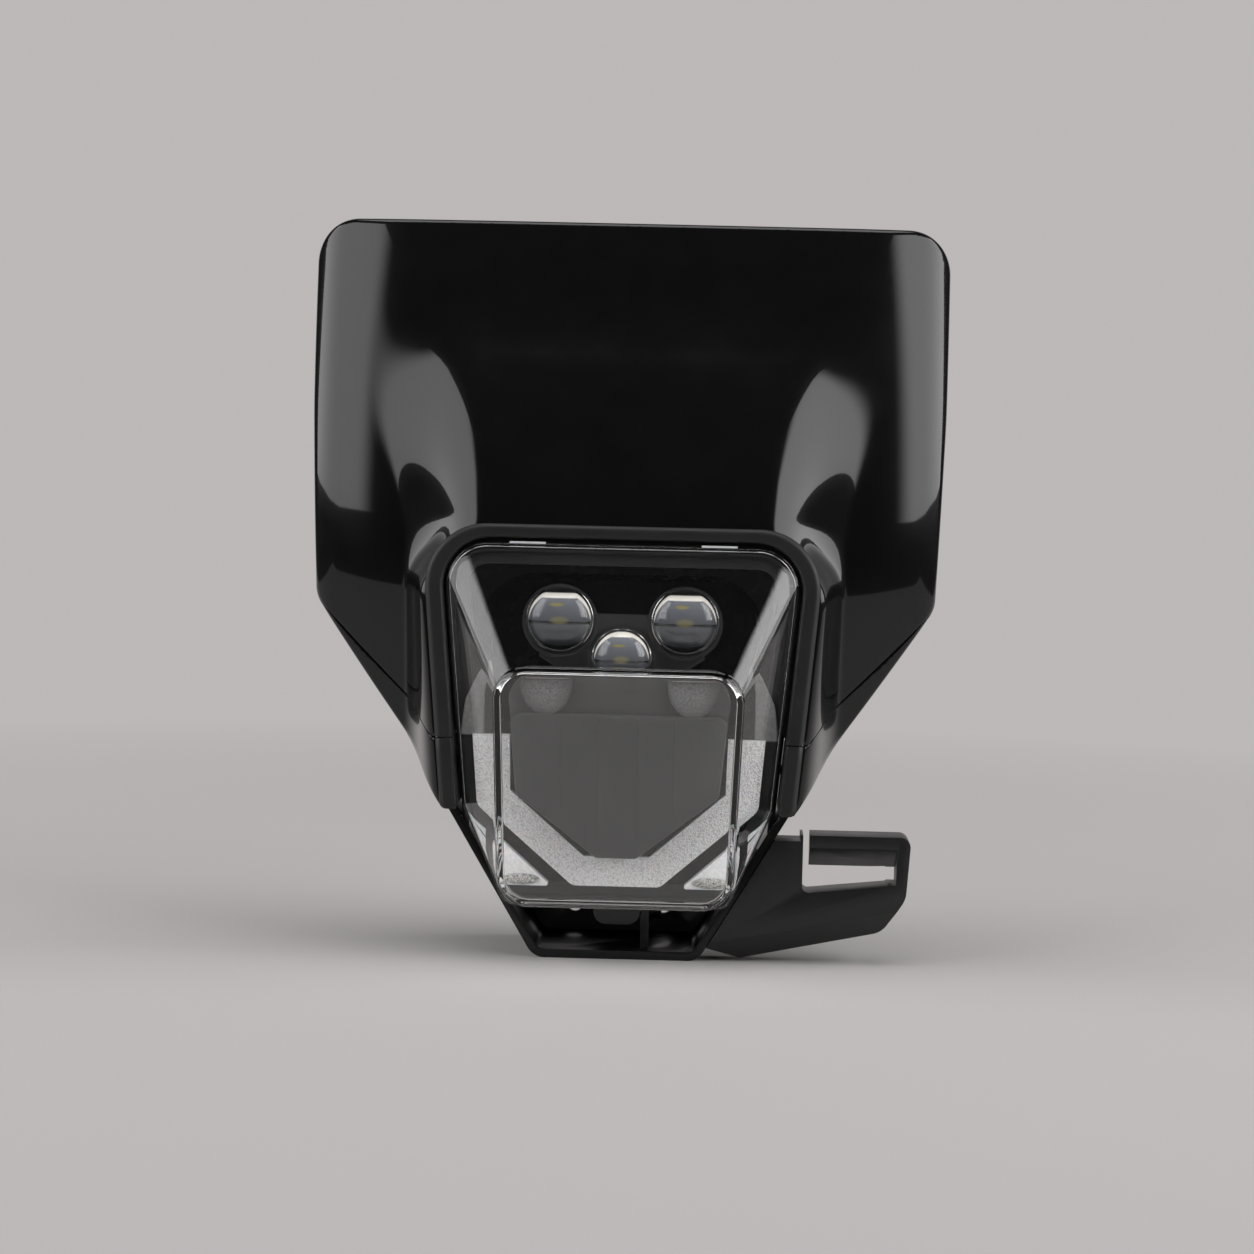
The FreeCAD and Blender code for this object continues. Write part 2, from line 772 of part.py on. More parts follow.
def mount_sleeves():
    sleeves = []
    for side in (-1, 1):
        start = Vector(side * tower_half, tower_back_y - tower_bore_depth + 1, tower_z)
        end = Vector(side * tower_half, tower_back_y + grommet_flange_t + 0.6, tower_z)
        sleeves.append(rod(sleeve_r, start, end).cut(rod(sleeve_bore_r, start, end)))
    return Part.Compound(sleeves)


def surround_screws():
    seat_y = top_ear_y + top_ear_t / 2
    return Part.Compound([pan_screw(Vector(side * top_ear_half, seat_y, top_screw_z), Vector(0, -1, 0),
                                    9.0, screw_r, screw_head_r, screw_head_t) for side in (-1, 1)])


# Lens


def lens_outline():
    return both_sides([
        (lens_foot_half, lens_foot_z, lens_foot_r),
        (leg(lens_half, lens_elbow_z), lens_elbow_z, 0),
        (leg(lens_half, lens_top_z), lens_top_z, lens_r),
    ])


def block_outline():
    """Front of the protruding block, with a point beside the rim's elbow on its straight side."""
    share = (lens_elbow_z - block_foot_z) / (block_top_z - block_foot_z)
    return both_sides([
        (block_foot_half, block_foot_z, block_foot_r),
        (block_foot_half + (block_half - block_foot_half) * share, lens_elbow_z, 0),
        (block_half, block_top_z, block_r),
    ])


def tilted(shape):
    """Turns the block's front face to look a little downwards."""
    shape.rotate(Vector(0, lens_front_y, block_top_z), Vector(1, 0, 0), block_tilt_deg)
    return shape


def lens_form(shrink):
    """Outer form of the lens, or its hollow where it is shrunk by the wall."""
    back = lens_flange_y + (1.0 if shrink else 0.0)
    rim = inset(lens_outline(), shrink)
    block = inset(block_outline(), shrink)
    step_y = lens_flange_y - lens_flange + shrink
    flange = prism(rim, back, step_y)
    face_y = lens_front_y + shrink
    root = tilted(front_wire(block, face_y + block_step))
    slope = Part.makeLoft([front_wire(rim, step_y), root], True, True)
    head = tilted(prism(block, face_y, face_y + block_step))
    edge_r = block_edge_r if shrink == 0 else block_edge_r / 2
    front = [e for e in head.Edges if head_front_edge(e, shrink)]
    head = head.makeFillet(edge_r, front)
    return flange.fuse(slope).fuse(head)


def head_front_edge(edge, shrink):
    """True for the edges round the block's tilted front face."""
    angle = math.radians(block_tilt_deg)
    for vertex in edge.Vertexes:
        away = vertex.Point - Vector(0, lens_front_y, block_top_z)
        if abs(away.y * math.cos(angle) + away.z * math.sin(angle) - shrink) > 0.01:
            return False
    return True


def lens_cover():
    """Clear hollow cover with two tongues on its upper rim."""
    cover = lens_form(0).cut(lens_form(lens_wall))
    back = lens_flange_y - 0.6
    tab = box(lens_tab_half - lens_tab_w / 2, lens_tab_half + lens_tab_w / 2, back - lens_tab_t, back,
              lens_top_z - 0.5, lens_top_z + lens_tab_h)
    return cover.multiFuse([tab, mirrored(tab)]).removeSplitter()


# Lamp housing


def lens_seal():
    outline = lens_outline()
    ring = prism(inset(outline, seal_inset), lens_flange_y, lens_flange_y + seal_t)
    return ring.cut(prism(inset(outline, seal_inset + 3.2), -80, 80))


def lamp_housing():
    """Deep tub with a flange, side pivots and the foot boss."""
    flange_y = lens_flange_y + seal_t
    outline = lens_outline()
    flange = prism(inset(outline, flange_inset), flange_y, flange_y + flange_t)
    start = front_wire(inset(outline, body_inset), flange_y)
    end = front_wire(inset(outline, body_inset + body_draft), body_back_y)
    body = Part.makeLoft([start, end], True, True)
    hollow_a = front_wire(inset(outline, body_inset + body_wall), flange_y - 1)
    hollow_b = front_wire(inset(outline, body_inset + body_wall + body_draft), body_back_y - body_wall)
    hollow = Part.makeLoft([hollow_a, hollow_b], True, True)
    tub = flange.fuse(body)
    reach = leg(surround_in_half, pivot_z) - pivot_gap
    inner = reach - 14
    bosses = [rod(pivot_boss_r, Vector(side * inner, pivot_y, pivot_z),
                  Vector(side * reach, pivot_y, pivot_z)) for side in (-1, 1)]
    foot = box(-boss_half, boss_half, boss_front_y, boss_back_y, boss_foot_z, lens_foot_z + body_inset + 4)
    foot = foot.makeFillet(5.0, [e for e in foot.Edges
                                 if e.BoundBox.ZMax < boss_foot_z + 0.01 and e.BoundBox.XLength < 0.01])
    tub = tub.multiFuse(bosses + [foot]).cut(hollow)
    for side in (-1, 1):
        tub = tub.cut(rod(pivot_shaft_r, Vector(side * (inner + 4), pivot_y, pivot_z),
                          Vector(side * (reach + 1), pivot_y, pivot_z)))
    tub = tub.cut(rod(clamp_r, Vector(-4, clamp_y, clamp_z), Vector(20, clamp_y, clamp_z)))
    for seat in sink_screw_seats():
        tub = tub.cut(rod(screw_r, seat - Vector(0, sink_plate_t + 4, 0), seat))
    return tub.removeSplitter()


def pivot_screws():
    """Shoulder screws through the surround into the housing."""
    half = leg(surround_in_half + surround_wall, pivot_z + pivot_head_r) + 0.1
    length = half - (leg(surround_in_half, pivot_z) - pivot_gap - 9)
    screw = pan_screw(Vector(half, pivot_y, pivot_z), Vector(-1, 0, 0), length, pivot_shaft_r,
                      pivot_head_r, pivot_head_t)
    return pair(screw)


def clamp_screw():
    seat = boss_half + clamp_gap + ear_t + clamp_gap / 2 + clamp_washer_t
    return pan_screw(Vector(seat, clamp_y, clamp_z), Vector(-1, 0, 0), seat + 3, clamp_r,
                     clamp_head_r, clamp_head_t)


def clamp_washer():
    left = boss_half + clamp_gap + ear_t + clamp_gap / 2
    disc = rod(clamp_washer_r, Vector(left, clamp_y, clamp_z),
               Vector(left + clamp_washer_t, clamp_y, clamp_z))
    return disc.cut(rod(clamp_r + 0.1, Vector(0, clamp_y, clamp_z), Vector(30, clamp_y, clamp_z)))


# Projector lenses


def hollow_inset(y):
    """How far the housing's inner wall lies inside the lens outline at depth y."""
    start = lens_flange_y + seal_t
    share = (y - start) / (body_back_y - body_wall - start)
    return body_inset + body_wall + body_draft * share


def field_outline():
    return both_sides([
        (field_foot_half, bezel_split_z - 5, 0),
        (field_top_half, lens_top_z - field_top_gap, field_r),
    ])


def eye_places():
    return [(-eye_half, eye_z), (eye_half, eye_z), (0.0, eye_mid_z)]


def inner_bezel():
    """Black tray behind the upper lens, open to the front, with a plate for the lower optics."""
    plate_back = bezel_front_y + bezel_t
    floor_y = bezel_y - bezel_t
    plate = prism(inset(lens_outline(), hollow_inset(plate_back) + bezel_gap), bezel_front_y, plate_back)
    tray = prism(inset(lens_outline(), hollow_inset(bezel_y) + bezel_gap), bezel_front_y, bezel_y)
    tray = plate.fuse(tray.cut(box(-90, 90, -60, 0, 0, bezel_split_z)))
    field = field_outline()
    pocket = Part.makeLoft([front_wire(field, bezel_front_y - 0.01),
                            front_wire(inset(field, 3.0), floor_y)], True, True)
    tray = tray.cut(pocket)
    for x, z in eye_places():
        tray = tray.cut(rod(aperture_r, Vector(x, -60, z), Vector(x, 0, z)))
    return tray.removeSplitter()


def lens_carrier():
    """Grey bracket that holds the three projector lenses by their edges."""
    back = bezel_y - bezel_t
    front = back - carrier_t
    web = prism([
        (-eye_half - 8, eye_z - 14, 0), (-11, eye_mid_z - 13, 0), (11, eye_mid_z - 13, 0),
        (eye_half + 8, eye_z - 14, 0), (eye_half, eye_z + 8, 0), (9.5, eye_z + 3.2, 0),
        (-9.5, eye_z + 3.2, 0), (-eye_half, eye_z + 8, 0),
    ], front + 1.0, back)
    rings = []
    for x, z in eye_places():
        r = (eye_mid_r if x == 0 else eye_r) + eye_ring
        rings.append(rod(r, Vector(x, front, z), Vector(x, back, z)))
    carrier = web.multiFuse(rings)
    for x, z in eye_places():
        r = eye_mid_r if x == 0 else eye_r
        carrier = carrier.cut(rod(aperture_r, Vector(x, -60, z), Vector(x, 0, z)))
        carrier = carrier.cut(rod(r + 0.1, Vector(x, front - 1, z), Vector(x, front + 1.2, z)))
    return carrier.removeSplitter()


def projector_lens(x, z, r, flat):
    """Plano-convex lens, cut flat above where flat is given."""
    base_y = bezel_y - bezel_t - carrier_t + 1.2
    sphere_r = (r * r + eye_dome * eye_dome) / (2 * eye_dome)
    rim_y = base_y - eye_edge_t
    start = Vector(0, base_y, 0)
    rim_back = Vector(r, base_y, 0)
    rim_front = Vector(r, rim_y, 0)
    top = Vector(0, rim_y - eye_dome, 0)
    angle = math.asin(r / sphere_r) / 2
    centre_y = rim_y - eye_dome + sphere_r
    middle = Vector(sphere_r * math.sin(angle), centre_y - sphere_r * math.cos(angle), 0)
    profile = Part.Wire([Part.makeLine(start, rim_back), Part.makeLine(rim_back, rim_front),
                         Part.Arc(rim_front, middle, top).toShape(), Part.makeLine(top, start)])
    lens = Part.Face(profile).revolve(Vector(0, 0, 0), Vector(0, 1, 0), 360)
    if flat:
        lens = lens.cut(box(-40, 40, -80, 40, flat, 40))
        for side in (-1, 1):
            corner = box(0, 30, -80, 40, -30, 30)
            corner.rotate(Vector(0, 0, 0), Vector(0, 1, 0), -45)
            corner.translate(Vector(eye_r * 0.83, 0, flat * 0.83))
            lens = lens.cut(corner if side > 0 else mirrored(corner))
    lens.translate(Vector(x, 0, z))
    return lens


def led_board():
    """Circuit board behind the bezel."""
    front = bezel_y + 0.1
    return prism(both_sides([(30, 104, 3), (40, 150, 6)]), front, front + board_t)


def led_chips():
    front = bezel_y + 0.1 - chip_t
    return Part.Compound([box(x - chip / 2, x + chip / 2, front, bezel_y + 0.1, z - chip / 2, z + chip / 2)
                          for x, z in eye_places()])


# Lower optics


def seat_y():
    """Depth that the lower optics are seated at, on the bezel's plate."""
    return bezel_front_y - seat_gap


def shield_panel():
    """Dark cap behind the block with a V-shaped foot, open at the back."""
    outline = both_sides([
        (panel_foot_half, panel_foot_z, 3),
        (panel_elbow_half, panel_elbow_z, 4),
        (panel_half, panel_top_z, 2),
    ])
    cap = prism(outline, panel_y, seat_y())
    return cap.cut(prism(inset(outline, panel_wall), panel_y + panel_wall, 0))


def bar_outline(shrink):
    """Outline of the frosted light bar, or of the V that is open at its top where it is shrunk."""
    outline = both_sides([
        (bar_foot_half, bar_foot_z, 4),
        (bar_elbow_half, bar_elbow_z, 5),
        (bar_top_half, bar_top_z, 0),
    ])
    if not shrink:
        return outline
    return [(x, z + 2 * shrink if z > bar_elbow_z + shrink else z, r) for x, z, r in inset(outline, shrink)]


def light_bar_board():
    """Circuit board that lights the bar from behind."""
    board = prism(inset(bar_outline(0), 1.5), seat_y() - board_t, seat_y())
    return board.cut(prism(bar_outline(bar_w - 1.5), -80, 80))


def light_bar():
    back = seat_y() - board_t - seat_gap
    bar = prism(bar_outline(0), back - bar_t, back)
    return bar.cut(prism(bar_outline(bar_w), -80, 80))


def reflector_cup(side):
    """D-shaped metallised cup over the shield panel."""
    foot_z = panel_top_z + seam
    outline = [(cup_half - cup_r, foot_z, 0), (cup_half + cup_r, foot_z, 0),
               (cup_half + cup_r, foot_z + cup_h, 4), (cup_half - cup_r, foot_z + cup_h, 4)]
    cup = prism(outline, cup_y, seat_y())
    cup = cup.cut(prism(inset(outline, cup_wall), cup_y - 1, seat_y() - cup_wall))
    return cup if side > 0 else mirrored(cup)


def corner_reflector(side):
    """Three-sided bright pocket in the lower corner of the lamp."""
    outline = [(23.0, 28.6, 1.5), (39.5, 31.0, 4.0), (43.5, 50.0, 1.5)]
    block = prism(outline, corner_y, seat_y())
    hollow = Part.makeLoft([front_wire(inset(outline, 1.0), corner_y - 0.01),
                            front_wire(inset(outline, 3.0), seat_y() - 1.5)], True, True)
    block = block.cut(hollow)
    return block if side > 0 else mirrored(block)


# Rear of the lamp


def heat_sink():
    back = body_back_y + sink_plate_t
    plate = prism(both_sides([(sink_half, sink_foot_z, 4), (sink_half, sink_top_z, 4)]), body_back_y, back)
    pitch = (2 * sink_half - 8 - fin_t) / (fin_count - 1)
    fins = []
    for k in range(fin_count):
        x = -sink_half + 4 + k * pitch
        fin = box(x, x + fin_t, back - 1, fin_back_y, sink_foot_z + fin_inset_z, sink_top_z - fin_inset_z)
        fins.append(fin)
    sink = plate.multiFuse(fins)
    for seat in sink_screw_seats():
        sink = sink.cut(rod(screw_head_r + 1.2, seat, seat + Vector(0, 40, 0)))
        sink = sink.cut(rod(screw_r + 0.2, seat - Vector(0, 10, 0), seat))
    return sink.removeSplitter()


def sink_screw_seats():
    y = body_back_y + sink_plate_t
    x = sink_half - 7
    return [Vector(sx, y, z) for sx in (-x, x) for z in (sink_foot_z + 7, sink_top_z - 7)]


def heat_sink_screws():
    return Part.Compound([pan_screw(seat, Vector(0, -1, 0), sink_plate_t + 2.0, screw_r, screw_head_r,
                                    screw_head_t) for seat in sink_screw_seats()])


def connector_socket():
    """Shroud that the loom plugs into, open at the back."""
    half = socket_w / 2
    tall = socket_h / 2
    outline = [(socket_x - half, socket_z - tall, 3), (socket_x + half, socket_z - tall, 3),
               (socket_x + half, socket_z + tall, 3), (socket_x - half, socket_z + tall, 3)]
    body = prism(outline, body_back_y, body_back_y + socket_depth)
    return body.cut(prism(inset(outline, socket_wall), body_back_y + 3, body_back_y + socket_depth + 1))


def connector_pins():
    pitch = (socket_w - 2 * socket_wall) / (pin_count + 1)
    start = socket_x - socket_w / 2 + socket_wall
    return Part.Compound([rod(pin_r, Vector(start + pitch * (k + 1), body_back_y + 3, socket_z),
                              Vector(start + pitch * (k + 1), body_back_y + socket_depth - 3, socket_z))
                          for k in range(pin_count)])


def vent_cap():
    """Breather cap with a waist."""
    base = Vector(vent_x, body_back_y, vent_z)
    stem = rod(vent_r * 0.6, base, base + Vector(0, vent_t, 0))
    cap = rod(vent_r, base + Vector(0, vent_t * 0.4, 0), base + Vector(0, vent_t, 0))
    rim = [e for e in cap.Edges if e.BoundBox.YMin > body_back_y + vent_t - 0.01 and e.Closed]
    return cap.makeFillet(1.0, rim).fuse(stem)


sheet = shell_sheet()
ring = surround_ring()
right_cheek = cheek(sheet, ring)

nodes = {
    "front_shell": front_shell(sheet),
    "lamp_surround": lamp_surround(ring),
    "cheek_right": right_cheek,
    "cheek_left": mirrored(right_cheek),
    "lower_frame": lower_frame(),
    "hose_guide": hose_guide(),
    "surround_screws": surround_screws(),
    "frame_screws": frame_screws(),
    "hose_guide_screws": hose_guide_screws(),
    "mount_grommets": mount_grommets(),
    "mount_sleeves": mount_sleeves(),
    "pivot_screws": pivot_screws(),
    "lens_cover": lens_cover(),
    "lens_seal": lens_seal(),
    "lamp_housing": lamp_housing(),
    "clamp_screw": clamp_screw(),
    "clamp_washer": clamp_washer(),
    "inner_bezel": inner_bezel(),
    "lens_carrier": lens_carrier(),
    "projector_lens_left": projector_lens(-eye_half, eye_z, eye_r, eye_flat),
    "projector_lens_right": projector_lens(eye_half, eye_z, eye_r, eye_flat),
    "projector_lens_centre": projector_lens(0.0, eye_mid_z, eye_mid_r, 0),
    "led_board": led_board(),
    "led_chips": led_chips(),
    "shield_panel": shield_panel(),
    "light_bar": light_bar(),
    "light_bar_board": light_bar_board(),
    "reflector_cup_left": reflector_cup(-1),
    "reflector_cup_right": reflector_cup(1),
    "corner_reflector_left": corner_reflector(-1),
    "corner_reflector_right": corner_reflector(1),
    "heat_sink": heat_sink(),
    "heat_sink_screws": heat_sink_screws(),
    "connector_socket": connector_socket(),
    "connector_pins": connector_pins(),
    "vent_cap": vent_cap(),
}

os.makedirs("parts", exist_ok=True)
for name, shape in nodes.items():
    shape.exportStep("parts/" + name + ".step")
    bounds = shape.BoundBox
    print(name, "solids", len(shape.Solids), "valid", shape.isValid(), "cm3", round(shape.Volume / 1000, 2),
          "x", round(bounds.XMin, 2), round(bounds.XMax, 2), "y", round(bounds.YMin, 2),
          round(bounds.YMax, 2), "z", round(bounds.ZMin, 2), round(bounds.ZMax, 2))
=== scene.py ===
import math
import bmesh
import bpy
from mathutils import Matrix, Vector, kdtree
from mathutils.geometry import delaunay_2d_cdt


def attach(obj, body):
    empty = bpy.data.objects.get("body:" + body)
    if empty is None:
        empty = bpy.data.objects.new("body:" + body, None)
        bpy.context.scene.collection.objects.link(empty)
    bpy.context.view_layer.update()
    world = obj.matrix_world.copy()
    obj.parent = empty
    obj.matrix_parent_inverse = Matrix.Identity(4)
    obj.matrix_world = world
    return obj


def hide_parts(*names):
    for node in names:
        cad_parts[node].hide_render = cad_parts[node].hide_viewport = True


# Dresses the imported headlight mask: sizes below are millimetres, and meshes are made in metres

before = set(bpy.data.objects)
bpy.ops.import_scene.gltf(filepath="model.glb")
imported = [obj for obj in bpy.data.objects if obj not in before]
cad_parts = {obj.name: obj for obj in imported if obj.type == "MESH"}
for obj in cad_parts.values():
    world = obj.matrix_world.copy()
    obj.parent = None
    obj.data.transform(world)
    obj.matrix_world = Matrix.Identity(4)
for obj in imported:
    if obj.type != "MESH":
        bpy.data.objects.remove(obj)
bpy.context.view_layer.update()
mm = 0.001
print("frame loaded:", len(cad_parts), "nodes")


# Node trees, for materials and for geometry

class Wire:
    # A socket that takes part in sums: each operator adds a Math node to its tree

    def __init__(self, tree, socket):
        self.tree, self.socket = tree, socket

    def maths(self, operation, other=0.0, turned=False):
        node = addNode(self.tree, "ShaderNodeMath", operation=operation)
        for socket, value in zip(node.inputs, (other, self) if turned else (self, other)):
            feed(self.tree, socket, value)
        return Wire(self.tree, node.outputs[0])

    def __add__(self, other):
        return self.maths("ADD", other)

    def __sub__(self, other):
        return self.maths("SUBTRACT", other)

    def __rsub__(self, other):
        return self.maths("SUBTRACT", other, turned=True)

    def __mul__(self, other):
        return self.maths("MULTIPLY", other)

    def __truediv__(self, other):
        return self.maths("DIVIDE", other)

    def most(self, other):
        return self.maths("MAXIMUM", other)

    def ranged(self, fromLow, fromHigh, low=0.0, high=1.0, curve="LINEAR"):
        node = addNode(self.tree, "ShaderNodeMapRange", {
            "Value": self, "From Min": fromLow, "From Max": fromHigh, "To Min": low, "To Max": high,
        }, interpolation_type=curve)
        return Wire(self.tree, node.outputs["Result"])


def feed(tree, socket, value):
    value = value.socket if isinstance(value, Wire) else value
    if isinstance(value, bpy.types.NodeSocket):
        tree.links.new(value, socket)
    else:
        socket.default_value = value


def addNode(tree, kind, inputs=None, **settings):
    node = tree.nodes.new(kind)
    for name, value in settings.items():
        setattr(node, name, value)
    for name, value in (inputs or {}).items():
        feed(tree, node.inputs[name], value)
    return node


def newMaterial(name, base, roughness, sockets=None):
    material = bpy.data.materials.new(name)
    material.use_nodes = True
    tree = material.node_tree
    shader = tree.nodes["Principled BSDF"]
    given = {"Base Color": (*base, 1.0), "Roughness": roughness, **(sockets or {})}
    for socket, value in given.items():
        feed(tree, shader.inputs[socket], value)
    return material, tree, shader


def objectPlace(tree):
    # Object coordinates are metres, so a pattern's scale is cycles per metre
    return addNode(tree, "ShaderNodeTexCoord").outputs["Object"]


def noiseAt(tree, scale, detail=3.0):
    noise = addNode(tree, "ShaderNodeTexNoise", {"Scale": scale, "Detail": detail, "Roughness": 0.5,
                                                 "Vector": objectPlace(tree)})
    return Wire(tree, noise.outputs["Fac"])


def attribute(tree, name):
    return Wire(tree, addNode(tree, "ShaderNodeAttribute", attribute_name=name).outputs["Fac"])


def tint(tree, factor, dark, light):
    colours = {label: (*value, 1.0) if isinstance(value, tuple) else value
               for label, value in (("A", dark), ("B", light))}
    return addNode(tree, "ShaderNodeMix", {"Factor": factor, **colours}, data_type="RGBA").outputs["Result"]


def bump(tree, height, strength, distance):
    node = addNode(tree, "ShaderNodeBump", {"Strength": strength, "Distance": distance, "Height": height})
    return node.outputs["Normal"]


def mixShaders(tree, factor, first, second):
    mix = addNode(tree, "ShaderNodeMixShader", {0: factor, 1: first.outputs[0], 2: second.outputs[0]})
    feed(tree, tree.nodes["Material Output"].inputs["Surface"], mix.outputs[0])


def solidFinish(name, look):
    # Cloudy tone and roughness under a fine grain, for plastics and metals
    coat, coatRough = look.get("coat", (0.0, 0.05))
    material, tree, shader = newMaterial(name, look["dark"], look["rough"][0], {
        "Metallic": look.get("metallic", 0.0), "Coat Weight": coat, "Coat Roughness": coatRough,
        "Specular IOR Level": look.get("specular", 0.5)})
    cloud = noiseAt(tree, look["cloud"], look.get("detail", 3.0))
    scale, strength, depth = look["grain"]
    grain = noiseAt(tree, scale, 2.0) if scale else cloud
    feed(tree, shader.inputs["Base Color"], tint(tree, cloud, look["dark"], look["light"]))
    feed(tree, shader.inputs["Roughness"], cloud.ranged(0.3, 0.7, *look["rough"]))
    feed(tree, shader.inputs["Normal"], bump(tree, grain, strength, depth))
    return material


plasticLooks = {
    "shellGloss": {"dark": (0.0035, 0.0035, 0.0037), "light": (0.0055, 0.0055, 0.0058), "rough": (0.16, 0.22),
                   "cloud": 60, "grain": (900, 0.02, 0.0002), "coat": (0.8, 0.035), "specular": 0.1},
    "surroundMatte": {"dark": (0.007, 0.007, 0.007), "light": (0.010, 0.010, 0.010), "rough": (0.46, 0.56),
                      "cloud": 90, "grain": (2600, 0.28, 0.0002)},
    "frameGloss": {"dark": (0.0035, 0.0035, 0.0037), "light": (0.006, 0.006, 0.006), "rough": (0.30, 0.38),
                   "cloud": 70, "grain": (1200, 0.03, 0.0002), "coat": (0.25, 0.12), "specular": 0.3},
    "guideSatin": {"dark": (0.008, 0.008, 0.0085), "light": (0.012, 0.012, 0.0125), "rough": (0.36, 0.44),
                   "cloud": 80, "grain": (1800, 0.16, 0.0002)},
    "housingBlack": {"dark": (0.010, 0.010, 0.010), "light": (0.015, 0.015, 0.015), "rough": (0.30, 0.40),
                     "cloud": 60, "grain": (1500, 0.2, 0.0002)},
    "bezelBlack": {"dark": (0.003, 0.003, 0.003), "light": (0.0045, 0.0045, 0.0045), "rough": (0.22, 0.30),
                   "cloud": 120, "grain": (2000, 0.05, 0.0001), "specular": 0.1},
    "carrierGrey": {"dark": (0.022, 0.022, 0.022), "light": (0.030, 0.030, 0.030), "rough": (0.42, 0.52),
                    "cloud": 150, "grain": (2600, 0.15, 0.0001)},
    "panelGrey": {"dark": (0.024, 0.024, 0.024), "light": (0.032, 0.032, 0.032), "rough": (0.36, 0.46),
                  "cloud": 110, "grain": (2200, 0.08, 0.0001)},
    "sealRubber": {"dark": (0.006, 0.006, 0.006), "light": (0.010, 0.010, 0.010), "rough": (0.62, 0.75),
                   "cloud": 120, "grain": (1600, 0.2, 0.0002)},
    "socketBlack": {"dark": (0.010, 0.010, 0.011), "light": (0.016, 0.016, 0.017), "rough": (0.40, 0.50),
                    "cloud": 140, "grain": (1800, 0.12, 0.0002)},
    "boardDark": {"dark": (0.008, 0.016, 0.010), "light": (0.012, 0.024, 0.015), "rough": (0.35, 0.48),
                  "cloud": 400, "grain": (1500, 0.1, 0.0001)},
}


metalLooks = {
    "screwSteel": {"dark": (0.30, 0.30, 0.31), "light": (0.42, 0.42, 0.43), "rough": (0.26, 0.40),
                   "cloud": 900},
    "sleeveSteel": {"dark": (0.45, 0.45, 0.46), "light": (0.58, 0.58, 0.59), "rough": (0.22, 0.34),
                    "cloud": 700},
    "blackSteel": {"dark": (0.012, 0.012, 0.013), "light": (0.022, 0.022, 0.023), "rough": (0.30, 0.42),
                   "cloud": 900},
    "sinkAluminium": {"dark": (0.10, 0.10, 0.105), "light": (0.15, 0.15, 0.155), "rough": (0.38, 0.52),
                      "cloud": 350},
    "reflectorBright": {"dark": (0.80, 0.80, 0.81), "light": (0.92, 0.92, 0.93), "rough": (0.10, 0.22),
                        "cloud": 1400},
    "pinBrass": {"dark": (0.62, 0.42, 0.16), "light": (0.74, 0.52, 0.22), "rough": (0.22, 0.34),
                 "cloud": 800},
}
metalGrain = {"metallic": 1.0, "detail": 4.0, "grain": (0, 0.12, 0.0001)}
finishes = {name: solidFinish(name, look) for name, look in plasticLooks.items()}
finishes.update({name: solidFinish(name, {**look, **metalGrain}) for name, look in metalLooks.items()})


def clearPlastic(name, tone, ior, waves):
    material, tree, shader = newMaterial(name, tone, 0.0, {"IOR": ior, "Transmission Weight": 1.0})
    feed(tree, shader.inputs["Normal"], bump(tree, noiseAt(tree, waves, 1.0), 0.03, 0.0002))
    # Shadow rays pass straight through, so that the lamp's inside is lit
    passes = addNode(tree, "ShaderNodeBsdfTransparent", {"Color": (0.93, 0.93, 0.93, 1.0)})
    mixShaders(tree, addNode(tree, "ShaderNodeLightPath").outputs["Is Shadow Ray"], shader, passes)
    return material


finishes["lensClear"] = clearPlastic("lensClear", (1.0, 1.0, 1.0), 1.586, 40)


def frosted(name, look):
    material, tree, shader = newMaterial(name, look["dark"], 0.45,
                                         {"Subsurface Weight": 0.25, "Subsurface Scale": 0.002})
    pebbles = addNode(tree, "ShaderNodeTexVoronoi", {"Scale": look["pebbles"], "Vector": objectPlace(tree)})
    height = pebbles.outputs["Distance"]
    colour = tint(tree, height, look["light"], look["dark"])
    if "rim" in look:
        # Painted sheen: paler in the middle, fading into its dark surroundings towards the rim, by the
        # piece's own attribute
        colour = tint(tree, attribute(tree, "shine"), look["rim"], colour)
    feed(tree, shader.inputs["Base Color"], colour)
    feed(tree, shader.inputs["Normal"], bump(tree, height, look["strength"], look["depth"]))
    return material


frostedLooks = {
    "barFrosted": {"dark": (0.46, 0.455, 0.46), "light": (0.92, 0.91, 0.92), "pebbles": 1500,
                   "strength": 0.7, "depth": 0.0005},
    "cornerWhite": {"dark": (0.72, 0.72, 0.73), "light": (0.90, 0.89, 0.90), "pebbles": 700,
                    "strength": 0.15, "depth": 0.0002},
    "cupHaze": {"dark": (0.06, 0.06, 0.062), "light": (0.25, 0.245, 0.245), "pebbles": 1300,
                "strength": 0.6, "depth": 0.0004, "rim": (0.03, 0.03, 0.03)},
    "flankHaze": {"dark": (0.13, 0.13, 0.13), "light": (0.20, 0.198, 0.198), "pebbles": 500,
                  "strength": 0.2, "depth": 0.0003},
    "grainBright": {"dark": (0.04, 0.04, 0.04), "light": (0.90, 0.88, 0.84), "pebbles": 1500,
                    "strength": 1.0, "depth": 0.0008},
    "chipYellow": {"dark": (0.45, 0.36, 0.05), "light": (0.70, 0.58, 0.12), "pebbles": 1200,
                   "strength": 0.3, "depth": 0.0002},
}
finishes.update({name: frosted(name, look) for name, look in frostedLooks.items()})


